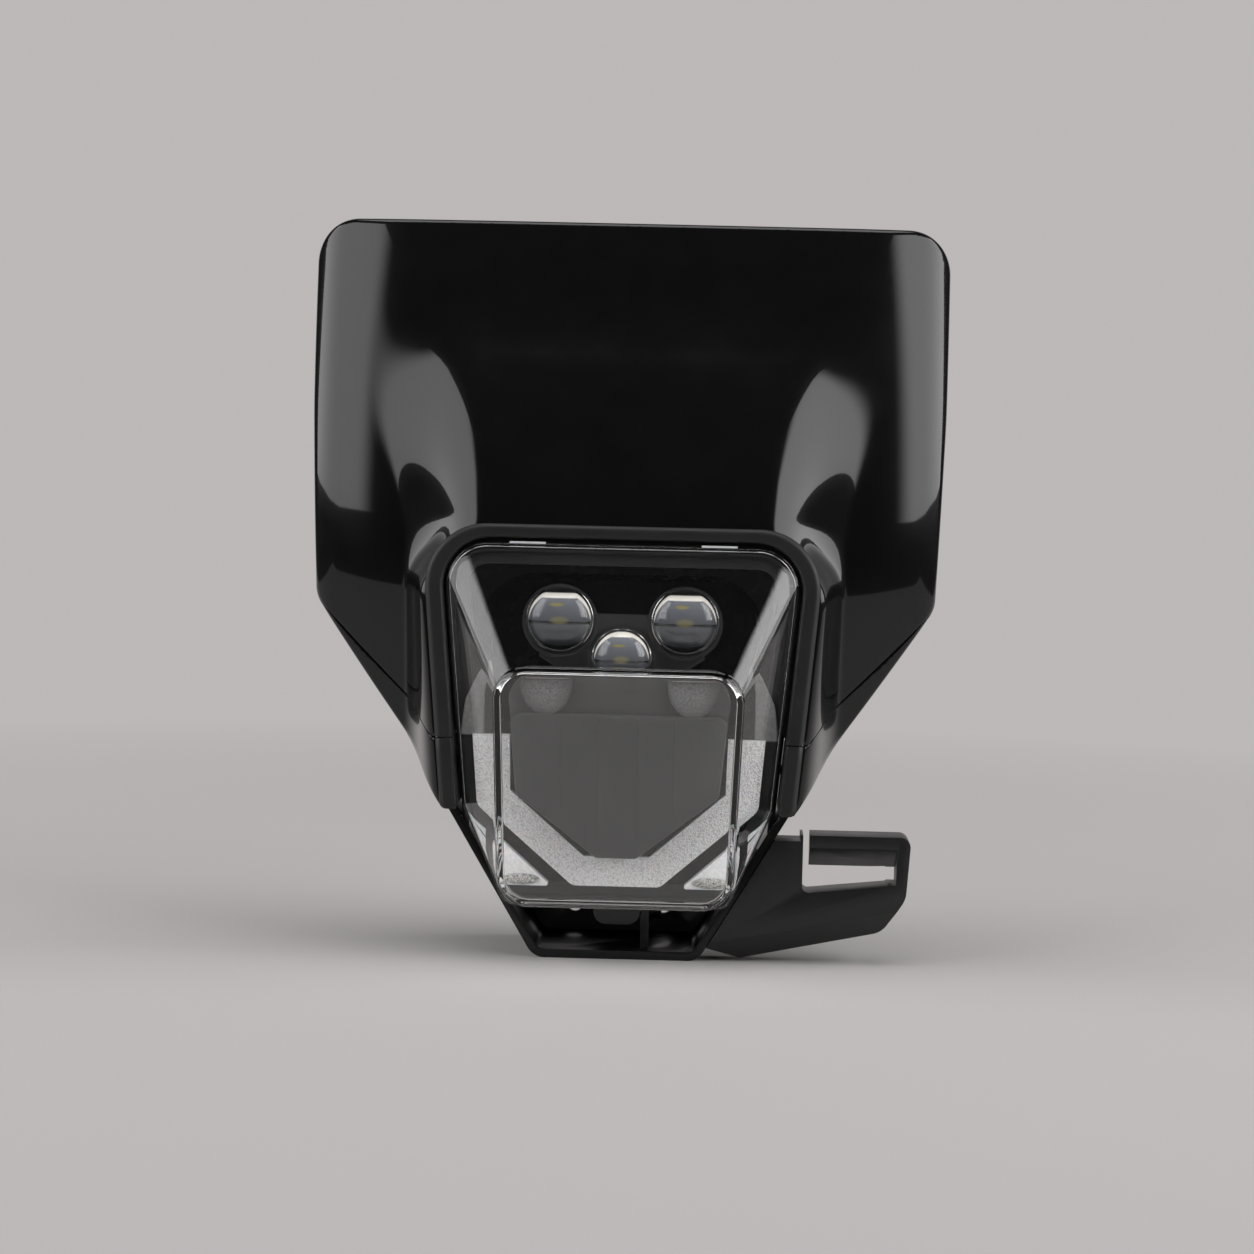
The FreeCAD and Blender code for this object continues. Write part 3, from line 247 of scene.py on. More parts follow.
# The eye domes' ramp of tones is a painted reflection of the sky, with a bluish cast
eyeLook = {
    "base": (0.2, 0.2, 0.2), "rough": 0.12, "coat": 1.0, "coatRough": 0.02, "cast": (0.92, 0.97, 1.08),
    "paintedReflectionTones": ((0.0, 0.005), (0.08, 0.01), (0.2, 0.07), (0.42, 0.10), (0.455, 0.02), (0.475, 0.02),
              (0.49, 0.13), (0.7, 0.18), (0.86, 0.26), (1.0, 0.32)),
    # Cream is the colour of a painted highlight over the dome's top, and glow makes that highlight emit light
    "phosphor": (0.34, 0.30, 0.12), "paintedHighlight": (0.90, 0.87, 0.80), "glow": (1.0, 0.96, 0.88, 1.0),
    "highlightGlowStrength": 0.28,
}


def paintedGlass(name, look):
    # Attributes run from -1 to 1 over each eye: a painted reflection, with a pale sky above and a dark line,
    # and the phosphor in the middle
    material, tree, shader = newMaterial(name, look["base"], look["rough"], {
        "Coat Weight": look["coat"], "Coat Roughness": look["coatRough"], "Emission Color": look["glow"]})
    height, across, level = (attribute(tree, label) for label in ("eyeHeight", "eyeAcross", "eyeTop"))
    ramp = addNode(tree, "ShaderNodeValToRGB", {"Fac": height.ranged(-1.0, 1.0)})
    elements = ramp.color_ramp.elements
    elements[0].position, elements[1].position = look["paintedReflectionTones"][0][0], look["paintedReflectionTones"][-1][0]
    for place, _ in look["paintedReflectionTones"][1:-1]:
        elements.new(place)
    for element, (_, tone) in zip(elements, look["paintedReflectionTones"]):
        element.color = (*(tone * share for share in look["cast"]), 1.0)

    def spot(middle, reach, half, width):
        u, v = (across - middle) / half, (height - reach) / width
        return (u * u + v * v).ranged(0.35, 1.35, 1.0, 0.0)

    phosphor = spot(-0.1, 0.5, 0.24, 0.055).most(spot(0.0, 0.0, 0.3, 0.13) * 0.45)
    colour = tint(tree, phosphor, ramp.outputs["Color"], look["phosphor"])
    # A painted highlight over the top rim, which also glows by emission, more so the higher it lies
    radius = (across * across + height * height).maths("SQRT")
    rim = (radius - (0.97 - height * 0.12)).ranged(0.0, 0.03)
    paintedHighlight = rim.most(level.ranged(0.80, 0.84)) * height.ranged(-0.05, 0.1)
    feed(tree, shader.inputs["Base Color"], tint(tree, paintedHighlight, colour, look["paintedHighlight"]))
    feed(tree, shader.inputs["Emission Strength"], paintedHighlight * look["highlightGlowStrength"])
    return material


finishes["eyePaint"] = paintedGlass("eyePaint", eyeLook)
finishes["grommetRubber"] = finishes["sealRubber"].copy()
finishes["grommetRubber"].name = "grommetRubber"
print("finishes ready:", len(finishes))


# Outlines: lists of (x, z, radius), the right half from foot to top, counter-clockwise from the front

legLean = {"refZ": 133.0, "splay": 0.09}


def leg(half, z):
    return half + (z - legLean["refZ"]) * legLean["splay"]


def bothSides(right):
    return right + [(-x, z, r) for x, z, r in reversed(right)]


def inset(outline, distance):
    # Each side moves inwards by the distance, and each corner's radius shrinks with it
    result = []
    for i, (x, z, r) in enumerate(outline):
        before = (Vector((x, z)) - Vector(outline[i - 1][:2])).normalized()
        after = (Vector(outline[(i + 1) % len(outline)][:2]) - Vector((x, z))).normalized()
        normalA, normalB = Vector((-before.y, before.x)), Vector((-after.y, after.x))
        middle = (normalA + normalB).normalized()
        shift = middle * (distance / middle.dot(normalA))
        result.append((x + shift.x, z + shift.y, max(r - distance, 0.05) if r > 0 else 0.0))
    return result


def trace(outline, arcSteps=10, sideSteps=6, closed=True):
    # Points round an outline; the same steps give the same count on an inset copy
    arcs = []
    for i, (x, z, r) in enumerate(outline):
        corner = Vector((x, z))
        before = (Vector(outline[i - 1][:2]) - corner).normalized()
        after = (Vector(outline[(i + 1) % len(outline)][:2]) - corner).normalized()
        if r <= 0:
            arcs.append([corner])
            continue
        half = before.angle(after) / 2
        centre = corner + (before + after).normalized() * (r / math.sin(half))
        start = corner + before * (r / math.tan(half)) - centre
        turn = math.pi - 2 * half
        arcs.append([centre + Matrix.Rotation(turn * k / arcSteps, 2) @ start for k in range(arcSteps + 1)])
    points = []
    for i, arc in enumerate(arcs):
        points += arc
        if i == len(arcs) - 1 and not closed:
            break
        goal = arcs[(i + 1) % len(arcs)][0]
        points += [arc[-1].lerp(goal, k / sideSteps) for k in range(1, sideSteps)]
    return [(p.x, p.y) for p in points]


# Meshes

def placed(name, data):
    thing = bpy.data.objects.new(name, data)
    bpy.context.scene.collection.objects.link(thing)
    return thing


def makeObject(name, parts, finish, sharpAngle=38):
    # parts: the points and faces of each closed loft, in millimetres
    points, faces = merged(parts)
    mesh = bpy.data.meshes.new(name)
    mesh.from_pydata([(x * mm, y * mm, z * mm) for x, y, z in points], [], faces)
    mesh.materials.append(finishes[finish])
    tidyMesh(mesh, sharpAngle)
    return placed(name, mesh)


def tidyMesh(mesh, sharpAngle):
    work = bmesh.new()
    work.from_mesh(mesh)
    bmesh.ops.remove_doubles(work, verts=work.verts, dist=1e-6)
    bmesh.ops.recalc_face_normals(work, faces=work.faces)
    work.to_mesh(mesh)
    work.free()
    mesh.shade_smooth()
    mesh.set_sharp_from_angle(angle=math.radians(sharpAngle))


def note(mesh, label, values):
    # One number for each vertex
    mesh.attributes.new(label, "FLOAT", "POINT").data.foreach_set("value", values)


def loft(rings, capEnds=True):
    # Quads between neighbouring rings of equal length
    count, last = len(rings[0]), len(rings) - 1
    points = [point for ring in rings for point in ring]
    faces = []
    for j in range(last):
        for i in range(count):
            a, b = j * count + i, j * count + (i + 1) % count
            faces.append((a, b, b + count, a + count))
    if capEnds:
        faces += [tuple(range(count)), tuple(range(last * count, (last + 1) * count))]
    return points, faces


def slab(outline, fromY, toY, edge, steps=(8, 5), side=1, bevel=((0.0, 1.0), (0.3, 0.3), (1.0, 0.0))):
    # A straight wall with a cap, from fromY to toY, whose far edge is rounded
    way = edge if toY < fromY else -edge
    rings = [(0.0, fromY)] + [(edge * shrink, toY + way * share) for shrink, share in bevel]
    return loft([[(side * x, y, z) for x, z in trace(inset(outline, shrink), *steps)] for shrink, y in rings])


def merged(parts):
    points, faces = [], []
    for somePoints, someFaces in parts:
        faces += [tuple(i + len(points) for i in face) for face in someFaces]
        points += somePoints
    return points, faces


def settle(piece, body, slot, *nodes):
    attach(piece, body)
    if nodes:
        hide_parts(*nodes)


def bake(piece):
    # The evaluated result becomes the piece's own plain mesh
    graph = bpy.context.evaluated_depsgraph_get()
    mesh = bpy.data.meshes.new_from_object(piece.evaluated_get(graph))
    piece.modifiers.clear()
    piece.data = mesh


def grown(name, points, faces, labels, tree, inputs, sharpAngle=38):
    # A mesh with attributes, run through a geometry node tree and baked
    mesh = bpy.data.meshes.new(name)
    mesh.from_pydata(points, [], faces)
    for label, values in labels.items():
        note(mesh, label, values)
    piece = placed(name, mesh)
    modifier = piece.modifiers.new("grow", "NODES")
    modifier.node_group = tree
    for item in tree.interface.items_tree:
        if item.item_type == "SOCKET" and item.in_out == "INPUT" and item.name in inputs:
            modifier[item.identifier] = inputs[item.name]
    bake(piece)
    tidyMesh(piece.data, sharpAngle)
    return piece


def joinInto(target, parts, finish, sharpAngle=38):
    extra = makeObject(target.name + "Extra", parts, finish, sharpAngle)
    material, slots = finishes[finish], target.data.materials
    if slots.find(material.name) < 0:
        slots.append(material)
    work = bmesh.new()
    work.from_mesh(target.data)
    before = len(work.faces)
    work.from_mesh(extra.data)
    work.faces.ensure_lookup_table()
    for face in work.faces[before:]:
        face.material_index = slots.find(material.name)
    work.to_mesh(target.data)
    work.free()
    mesh = extra.data
    bpy.data.objects.remove(extra)
    bpy.data.meshes.remove(mesh)


def around(steps):
    return [2 * math.pi * k / steps for k in range(steps)]


def quarter(steps):
    # Shares sunk and left while a corner turns by a quarter
    turns = [math.pi / 2 * k / steps for k in range(steps + 1)]
    return [(1 - math.cos(a), 1 - math.sin(a)) for a in turns]


def lathe(profile, centre, axis="Y", steps=48):
    # profile: (radius, distance along the axis) from one end to the other
    def point(along, u, v):
        place = (u, along, v) if axis == "Y" else (along, u, v)
        return tuple(c + p for c, p in zip(centre, place))

    return loft([[point(along, r * math.cos(a), r * math.sin(a)) for a in around(steps)]
                 for r, along in profile])


def nearTree(places):
    tree = kdtree.KDTree(len(places))
    for i, place in enumerate(places):
        tree.insert(place, i)
    tree.balance()
    return tree


# Shell: a flat sheet is drawn in front view, and a node tree wraps it onto the curved surface

shellSizes = {
    "Plate Front": -34.5, "Plate Foot Height": 60.0, "Plate Lean": 3.0, "Crown Radius": 1400.0,
    "Bend Low": 165.0, "Bend Top": 262.0, "Bend Ease": 0.25,
    "Wing Front": -5.0, "Bow Height": 160.0, "Bow Radius": 350.0,
    "Wrap Start": 79.0, "Wrap Radius": 118.0, "Curl Start": 116.5, "Curl Radius": 10.0,
    "Scoop In Low": 76.0, "Scoop In Low Height": 140.0,
    "Scoop In Top": 54.0, "Scoop In Top Height": 176.0,
    "Scoop Out Low": 88.0, "Scoop Out Low Height": 150.0,
    "Scoop Out Top": 102.0, "Scoop Out Top Height": 230.0,
    "Scoop Ease In": 0.4, "Scoop Ease Out": 0.5, "Leg Splay": 0.09, "Leg Height": 133.0,
}
shellForm = {"wall": 2.6, "rimWall": 2.4, "rimDepth": 7.5, "edge": 1.5, "seamEdge": 0.4, "seam": 0.3,
             "windowHalf": 68.7, "windowTop": 166.0, "windowR": 19.0, "windowWall": 2.3, "footZ": 60.3,
             "seamZ": 88.0, "seamX": 73.0, "seamFrom": 60.0, "seamTo": 128.0}
sheetGrid = {"step": 1.3, "offset": 0.37, "columns": (12, 22, 18), "beforeScoop": 0.5, "afterScoop": 1.0,
             "reach": 130.0, "clear": 0.45, "chain": 1.6, "windowChain": 1.8, "fine": 1.0,
             "rimInsets": (0.0, 0.12, 0.4, 0.85, 1.5), "seamInsets": (0.0, 0.12, 0.4)}
ribForm = {"root": 1.2, "half": 1.0, "steps": 18}
ribs = [((x, 193.3), (x, 287.6), 8.6) for x in (-24.0, 0.0, 24.0)]
ribs += [((side * 74.0, 226.0), (side * 74.0, 287.6), 12.6) for side in (-1, 1)]
ribs += [((side * 34.0, 226.0), (side * 74.0, 226.0), 12.6) for side in (-1, 1)]
shellOutline = bothSides([(68.6, 60.3, 0.0), (123.8, 139.3, 11.0), (126.9, 215.0, 500.0),
                          (128.0, 290.0, 17.5)])


def newGroup(name, inputs, outputs):
    # Socket names and kinds in; the tree, a wire for each input and the output node out
    tree = bpy.data.node_groups.new(name, "GeometryNodeTree")
    for way, sockets in (("INPUT", inputs), ("OUTPUT", outputs)):
        for label, kind in sockets.items():
            tree.interface.new_socket(label, in_out=way, socket_type="NodeSocket" + kind)
    source, out = addNode(tree, "NodeGroupInput"), addNode(tree, "NodeGroupOutput")
    return tree, {label: Wire(tree, source.outputs[label]) for label in inputs}, out


def endGroup(tree, geometry, material, out):
    whole = addNode(tree, "GeometryNodeRealizeInstances", {"Geometry": geometry})
    paint = addNode(tree, "GeometryNodeSetMaterial", {"Geometry": whole.outputs[0], "Material": material})
    feed(tree, out.inputs["Geometry"], paint.outputs[0])


def easedRamp(value, low, high, easeIn, easeOut):
    # Straight rise from 0 to 1 whose two ends are rounded over the given shares
    t = value.ranged(low, high)
    early, late = (t - easeIn).most(0.0), (t - 1.0 + easeOut).most(0.0)
    rise = (t * t - early * early) / easeIn
    return (rise - late * late / easeOut) / (2.0 - (easeIn + easeOut))


def shellDepthGroup():
    # Plate, bowed wings further back, and scoops between them
    floats = dict.fromkeys(["Across", "Height", *shellSizes], "Float")
    tree, size, out = newGroup("shellDepth", floats, {"Depth": "Float"})
    x, z = size["Across"].maths("ABSOLUTE"), size["Height"]

    def curve(reach, radius):
        return reach * reach / (radius * 2.0)

    def smooth(edge, lowAt):
        return z.ranged(size[edge + " Low Height"], size[edge + " Top Height"], lowAt, size[edge + " Top"],
                        "SMOOTHERSTEP")

    lean = size["Plate Lean"].maths("RADIANS").maths("TANGENT")
    plate = size["Plate Front"] + (z - size["Plate Foot Height"]) * lean
    wing = size["Wing Front"] + curve(z - size["Bow Height"], size["Bow Radius"])
    inner = smooth("Scoop In", size["Scoop In Low"] + (z - size["Leg Height"]) * size["Leg Splay"])
    outer = smooth("Scoop Out", size["Scoop Out Low"])
    bend = easedRamp(z, size["Bend Low"], size["Bend Top"], size["Bend Ease"], size["Bend Ease"])
    scoop = easedRamp(x, inner, outer, size["Scoop Ease In"], size["Scoop Ease Out"])
    depth = plate + (wing - plate) * (bend + (1.0 - bend) * scoop)
    depth = depth + curve(x, size["Crown Radius"])
    for side in ("Wrap", "Curl"):
        depth = depth + curve((x - size[side + " Start"]).most(0.0), size[side + " Radius"])
    feed(tree, out.inputs["Depth"], depth)
    return tree


def wrapTree():
    # Moves a flat sheet onto the surface; behind goes along its normal and setBack along Y
    kinds = {"Geometry": "Geometry", **dict.fromkeys(shellSizes, "Float"), "Material": "Material"}
    tree, size, out = newGroup("wrapShell", kinds, {"Geometry": "Geometry"})
    position = addNode(tree, "GeometryNodeInputPosition").outputs[0]
    place = addNode(tree, "ShaderNodeSeparateXYZ", {0: position}).outputs
    x, z = (Wire(tree, place[axis]) * 1000.0 for axis in "XZ")
    group, step = shellDepthGroup(), 0.05

    def vector(operation, inputs):
        return addNode(tree, "ShaderNodeVectorMath", inputs, operation=operation).outputs[0]

    def combined(across, deep, high):
        return addNode(tree, "ShaderNodeCombineXYZ", {"X": across, "Y": deep, "Z": high}).outputs[0]

    def named(label):
        return Wire(tree, addNode(tree, "GeometryNodeInputNamedAttribute", {"Name": label}).outputs[0])

    def depthAt(across, height):
        inputs = {"Across": across, "Height": height, **{name: size[name] for name in shellSizes}}
        return Wire(tree, addNode(tree, "GeometryNodeGroup", inputs, node_tree=group).outputs["Depth"])

    depth = depthAt(x, z)
    slopeX = (depthAt(x + step, z) - depth) / step
    slopeZ = (depthAt(x, z + step) - depth) / step
    normal = vector("NORMALIZE", {0: combined(slopeX * -1.0, 1.0, slopeZ * -1.0)})
    along = vector("SCALE", {0: normal, "Scale": named("behind") * mm})
    straight = combined(place["X"], (depth + named("setBack")) * mm, place["Z"])
    goal = vector("ADD", {0: straight, 1: along})
    move = addNode(tree, "GeometryNodeSetPosition", {"Geometry": size["Geometry"], "Position": goal})
    endGroup(tree, move.outputs[0], size["Material"], out)
    return tree


shellTree = wrapTree()


def wrapped(name, parts):
    # parts: points as (x, z, behind, setBack), and faces
    points, faces = merged(parts)
    labels = {"behind": [p[2] for p in points], "setBack": [p[3] for p in points]}
    return grown(name, [(x * mm, 0.0, z * mm) for x, z, _, _ in points], faces, labels, shellTree,
                 {**shellSizes, "Material": finishes["shellGloss"]})


def seamLine(x):
    return shellForm["seamZ"] + max(abs(x) - shellForm["seamX"], 0.0)


def windowOutline(extra):
    foot, wall = 30.0, shellForm["windowWall"]
    half, top, r = (shellForm["window" + k] + wall + extra for k in ("Half", "Top", "R"))
    return bothSides([(leg(half, foot), foot, 0.0), (leg(half, top), top, r)])


class EdgeFinder:
    # Distance from a point to a chain of points

    def __init__(self, chain):
        self.chain = [Vector(p) for p in chain]
        self.tree = nearTree([p.to_3d() for p in self.chain])

    def distance(self, x, z):
        near = self.tree.find((x, z, 0.0))[1]
        here = Vector((x, z))
        best = 1e9
        for i in (near - 1, near):
            if 0 <= i < len(self.chain) - 1:
                a, b = self.chain[i], self.chain[i + 1]
                share = max(0.0, min(1.0, (here - a).dot(b - a) / max((b - a).length_squared, 1e-12)))
                best = min(best, (here - a.lerp(b, share)).length)
        return best


def inside(x, z, loop):
    crossed = False
    for i, (ax, az) in enumerate(loop):
        bx, bz = loop[i - 1]
        if (az > z) != (bz > z) and x < (bx - ax) * (z - az) / (bz - az) + ax:
            crossed = not crossed
    return crossed


def evenChain(chain, step):
    # The same chain with no gap longer than step
    result = [chain[0]]
    for a, b in zip(chain, chain[1:]):
        count = max(1, math.ceil(math.dist(a, b) / step))
        result += [(a[0] + (b[0] - a[0]) * k / count, a[1] + (b[1] - a[1]) * k / count)
                   for k in range(1, count + 1)]
    return result


def scoopEdge(edge, low, z):
    # Where the scoop begins or ends at this height
    lowZ, highZ, top = (shellSizes[edge + part] for part in (" Low Height", " Top Height", " Top"))
    t = min(max((z - lowZ) / (highZ - lowZ), 0.0), 1.0)
    return low + (top - low) * t * t * t * (10.0 - 15.0 * t + 6.0 * t * t)


def sheetPoints(region, coords):
    # Rows of points between the chains, closer together across the scoops
    grid, near = sheetGrid, nearTree([p.to_3d() for p in coords])
    low = Vector((min(p.x for p in coords), min(p.y for p in coords)))
    high = Vector((max(p.x for p in coords), max(p.y for p in coords)))
    points, z = [], low.y + grid["offset"]
    while z < high.y:
        stops = [0.0, scoopEdge("Scoop In", leg(shellSizes["Scoop In Low"], z), z) - grid["beforeScoop"],
                 scoopEdge("Scoop Out", shellSizes["Scoop Out Low"], z) + grid["afterScoop"], grid["reach"]]
        for left, right, count in zip(stops, stops[1:], grid["columns"]):
            gap = min(grid["step"], (right - left) / count) * grid["clear"]
            for x in (left + (right - left) * (k + 0.5) / count for k in range(count)):
                points += [Vector((side, z)) for side in (-x, x) if low.x < side < high.x
                           and near.find((side, z, 0.0))[2] > gap and region(side, z)]
        z += grid["step"]
    return points


def sheetPart(region, chains, edges):
    # A closed thin sheet: front layer with rounded borders, back layer and side walls
    coords, ties = [], []
    for chain in chains:
        ties += [(len(coords) + i, len(coords) + i + 1) for i in range(len(chain) - 1)]
        coords += [Vector(p) for p in chain]
    coords += sheetPoints(region, coords)
    found, _, triangles, *_ = delaunay_2d_cdt(coords, ties, [], 0, 1e-4)
    kept = [face for face in triangles if region(*(sum((found[i] for i in face), Vector((0, 0))) / 3))]
    used = sorted({i for face in kept for i in face})
    number = {old: new for new, old in enumerate(used)}
    kept = [tuple(number[i] for i in face) for face in kept]
    flat, count = [found[i] for i in used], len(used)
    front = []
    for p in flat:
        back = 0.0
        for finder, r in edges:
            d = finder.distance(p.x, p.y)
            if d < r:
                back = max(back, r - math.sqrt(max(r * r - (r - d) ** 2, 0.0)))
        front.append((p.x, p.y, 0.0, back))
    rear = [(p.x, p.y, shellForm["wall"], 0.0) for p in flat]
    faces = kept + [(c + count, b + count, a + count) for a, b, c in kept]
    sides = dict.fromkeys(pair for a, b, c in kept for pair in ((a, b), (b, c), (c, a)))
    faces += [(b, a, a + count, b + count) for a, b in sides if (b, a) not in sides]
    return front + rear, faces


def rimPart(stations, innerStations):
    # The turned-in flange: a rounded bar swept along the outline
    wall, depth, r = shellForm["rimWall"], shellForm["rimDepth"], shellForm["edge"]
    section = [(0.0, r), (0.0, depth - 0.5), (0.15, depth - 0.15), (0.5, depth),
               (wall - 0.5, depth), (wall - 0.15, depth - 0.15), (wall, depth - 0.5), (wall, 1.8),
               (wall * 0.5, 1.5), (0.3, 1.5)]
    rings = []
    for (x, z), (ix, iz) in zip(stations, innerStations):
        inwards = Vector((ix - x, iz - z)).normalized()
        rings.append([(x + inwards.x * s, z + inwards.y * s, 0.0, back) for s, back in section])
    return loft(rings)


def ribPart(start, end, depth):
    # A straight rib behind the sheet, from start to end in front view
    half, root, count = ribForm["half"], ribForm["root"], ribForm["steps"]
    dx, dz = (half, 0.0) if start[0] == end[0] else (0.0, -half)
    rings = []
    for k in range(count + 1):
        x, z = (a + (b - a) * k / count for a, b in zip(start, end))
        rings.append([(x - dx, z - dz, root, 0.0), (x + dx, z + dz, root, 0.0), (x + dx, z + dz, depth, 0.0),
                      (x - dx, z - dz, depth, 0.0)])
    return loft(rings)


def openChain(outline, arcSteps, step):
    # Round an outline from its first point to its last
    return evenChain(trace(outline, arcSteps, 1, closed=False), step)


def seamChain(shift=0.0, step=sheetGrid["chain"], drop=0.0):
    # The seam on the right between wing and cheek, moved square to itself by shift and down by drop
    low, turn, start, end = (shellForm[k] for k in ("seamZ", "seamX", "seamFrom", "seamTo"))
    line = [(start, low + shift), (turn - shift * 0.41, low + shift), (end, low + end - turn + shift * 1.41)]
    return [(x, z - drop) for x, z in evenChain(line, step)]


def shellPieces():
    form, grid = shellForm, sheetGrid
    window, drop = windowOutline(form["seam"]), form["seam"]
    outerLoop, windowLoop = trace(shellOutline, 16, 1), trace(window, 12, 1)
    borders = [openChain(inset(shellOutline, d), 24, grid["chain"]) for d in grid["rimInsets"]]
    borders += [openChain(windowOutline(form["seam"] + d), 16, grid["windowChain"])
                for d in grid["seamInsets"]]
    edges = [(EdgeFinder(openChain(shellOutline, 60, grid["fine"])), form["edge"]),
             (EdgeFinder(openChain(window, 40, grid["fine"])), form["seamEdge"])]

    def within(x, z):
        return inside(x, z, outerLoop) and not inside(x, z, windowLoop)

    def flipped(chain):
        return [(-x, z) for x, z in chain]

    # Plate and wings, above both seams
    upper, seam = [seamChain(d) for d in grid["seamInsets"]], seamChain(0.0, grid["fine"])
    seamEdges = [(EdgeFinder(chain), form["seamEdge"]) for chain in (seam, flipped(seam))]
    skin = sheetPart(lambda x, z: z > seamLine(x) and within(x, z),
                     borders + upper + [flipped(c) for c in upper], edges + seamEdges)
    rimPath, innerPath = (trace(outline, 24, 24, closed=False)
                          for outline in (shellOutline, inset(shellOutline, form["rimWall"])))
    first = next(i for i, (x, z) in enumerate(rimPath) if z > seamLine(x))
    upperRim = slice(first, len(rimPath) - first)
    rim = rimPart(rimPath[upperRim], innerPath[upperRim])
    shell = wrapped("shellSkin", [skin, rim] + [ribPart(*rib) for rib in ribs])
    print("shell wrapped:", len(shell.data.polygons), "faces")

    # Cheek skin on the right, below its seam
    lower = [seamChain(-d, drop=drop) for d in grid["seamInsets"]]
    foot = [(form["seamFrom"], form["footZ"]), (75.0, form["footZ"])]
    cheekSkin = sheetPart(lambda x, z: x > 0 and form["footZ"] < z < seamLine(x) - drop and within(x, z),
                          borders + lower + [foot],
                          edges + [(EdgeFinder(seamChain(0.0, grid["fine"], drop)), form["seamEdge"])])
    return shell, [cheekSkin, rimPart(rimPath[1:first], innerPath[1:first])]


shellObject, cheekParts = shellPieces()


towers = {"x": 74.0, "z": 226.0, "r": 9.5, "bore": 6.4, "root": 1.3, "backY": 24.0, "boreDepth": 14.0,
          "bossX": 38.0, "bossZ": 179.0, "bossR": 4.6, "bossBackY": -11.6, "steps": 48}


def rootRing(points, root):
    # Lays the first ring of a lofted part just behind the shell's outer surface
    skin = [tuple(c * 1000 for c in v.co) for v in shellObject.data.vertices]
    finder = nearTree([(x, 0.0, z) for x, _, z in skin])
    result = []
    for x, _, z in points:
        front = min(skin[i][1] for _, i, _ in finder.find_n((x, 0.0, z), 6))
        result.append((x, front + root, z))
    return result


def towerParts():
    t = towers
    tower = [(t["r"], 0.0), (t["r"], t["backY"] - 0.6), (t["r"] - 0.6, t["backY"]),
             (t["bore"] + 0.4, t["backY"]), (t["bore"], t["backY"] - 0.4),
             (t["bore"], t["backY"] - t["boreDepth"])]
    boss = [(t["bossR"], 0.0), (t["bossR"], t["bossBackY"] - 0.4), (t["bossR"] - 0.4, t["bossBackY"])]
    parts = []
    for side in (-1, 1):
        for profile, x, z in ((tower, t["x"], t["z"]), (boss, t["bossX"], t["bossZ"])):
            points, faces = lathe(profile, (side * x, 0.0, z), steps=t["steps"])
            parts.append((rootRing(points[:t["steps"]], t["root"]) + points[t["steps"]:], faces))
    return parts


joinInto(shellObject, towerParts(), "shellGloss")
shellObject.data.set_sharp_from_angle(angle=math.radians(38))
settle(shellObject, "mask", "shell_gloss", "front_shell")


# Surround: one section carried round the lamp opening, down both legs

surround = {"outHalf": 75.6, "outTop": 171.3, "outR": 24.0, "inHalf": 68.7, "inTop": 166.0, "inR": 19.0,
            "frontY": -36.2, "footZ": 60.0, "lean": 3.0, "outEdge": 2.2, "inEdge": 1.4, "backY": 9.0,
            "wall": 2.3, "rimBack": 7.5, "lip": 5.0, "lipY": -17.3, "lipT": 2.0, "lowZ": 88.3,
            "endBackY": -8.0, "heights": (60.4, 60.7, 61.3, 62.2, 64.0, 70.0, 76.0, 82.0, 87.3, 87.7)}


def surroundPaths(lowZ):
    outlines = [bothSides([(leg(half, lowZ), lowZ, 0.0), (leg(half, top), top, r)])
                for half, top, r in ((surround[k + "Half"], surround[k + "Top"], surround[k + "R"])
                                     for k in ("out", "in"))]
    return zip(*(trace(outline, 20, 14, closed=False) for outline in outlines))


def surroundRings(paths, backY):
    s, rings = surround, []
    out, into, wall = s["outEdge"], s["inEdge"], s["wall"]
    for (ox, oz), (ix, iz) in paths:
        width = math.hypot(ox - ix, oz - iz)
        face = s["frontY"] + (oz - s["footZ"]) * math.tan(math.radians(s["lean"]))
        section = [(0.0, face + s["rimBack"])]
        section += [(out * sunk, face + out * left) for sunk, left in quarter(6)]
        section += [(width - into * left, face + into * sunk) for sunk, left in quarter(6)]
        section += [(width, backY), (width - wall, backY), (width - wall, face + s["rimBack"])]
        rings.append([(ox + (ix - ox) * d / width, y, oz + (iz - oz) * d / width) for d, y in section])
    return rings


def surroundLip(lowZ):
    s = surround
    outline = bothSides([(leg(s["inHalf"] + 1.0, lowZ), lowZ, 0.0),
                         (leg(s["inHalf"] + 1.0, s["inTop"] + 1.0), s["inTop"] + 1.0, s["inR"] + 1.0)])
    outer = trace(outline, 16, 10, closed=False)
    inner = trace(inset(outline, s["lip"] + 1.0), 16, 10, closed=False)
    y0, y1 = s["lipY"], s["lipY"] + s["lipT"]
    return loft([[(ox, y0, oz), (ix, y0, max(iz, lowZ)), (ix, y1, max(iz, lowZ)), (ox, y1, oz)]
                 for (ox, oz), (ix, iz) in zip(outer, inner)])


surroundObject = makeObject("surroundRing", [
    loft(surroundRings(surroundPaths(surround["lowZ"]), surround["backY"])), surroundLip(surround["lowZ"])],
    "surroundMatte")
settle(surroundObject, "mask", "surround_matte", "lamp_surround")


def cheekLeg():
    # The lower end of the right leg, rounded at its foot and a little at its top
    s, stations = surround, []
    for z in s["heights"]:
        pinch = max(0.0, s["heights"][3] - z) ** 2 * 0.42 + max(0.0, z - s["heights"][-2])
        stations.append(((leg(s["outHalf"], z) - pinch, z), (leg(s["inHalf"], z) + pinch * 0.6, z)))
    return loft(surroundRings(stations, s["endBackY"]))


print("surround done")


# Lens: a rim, sloping sides and a stepped block with a tilted face

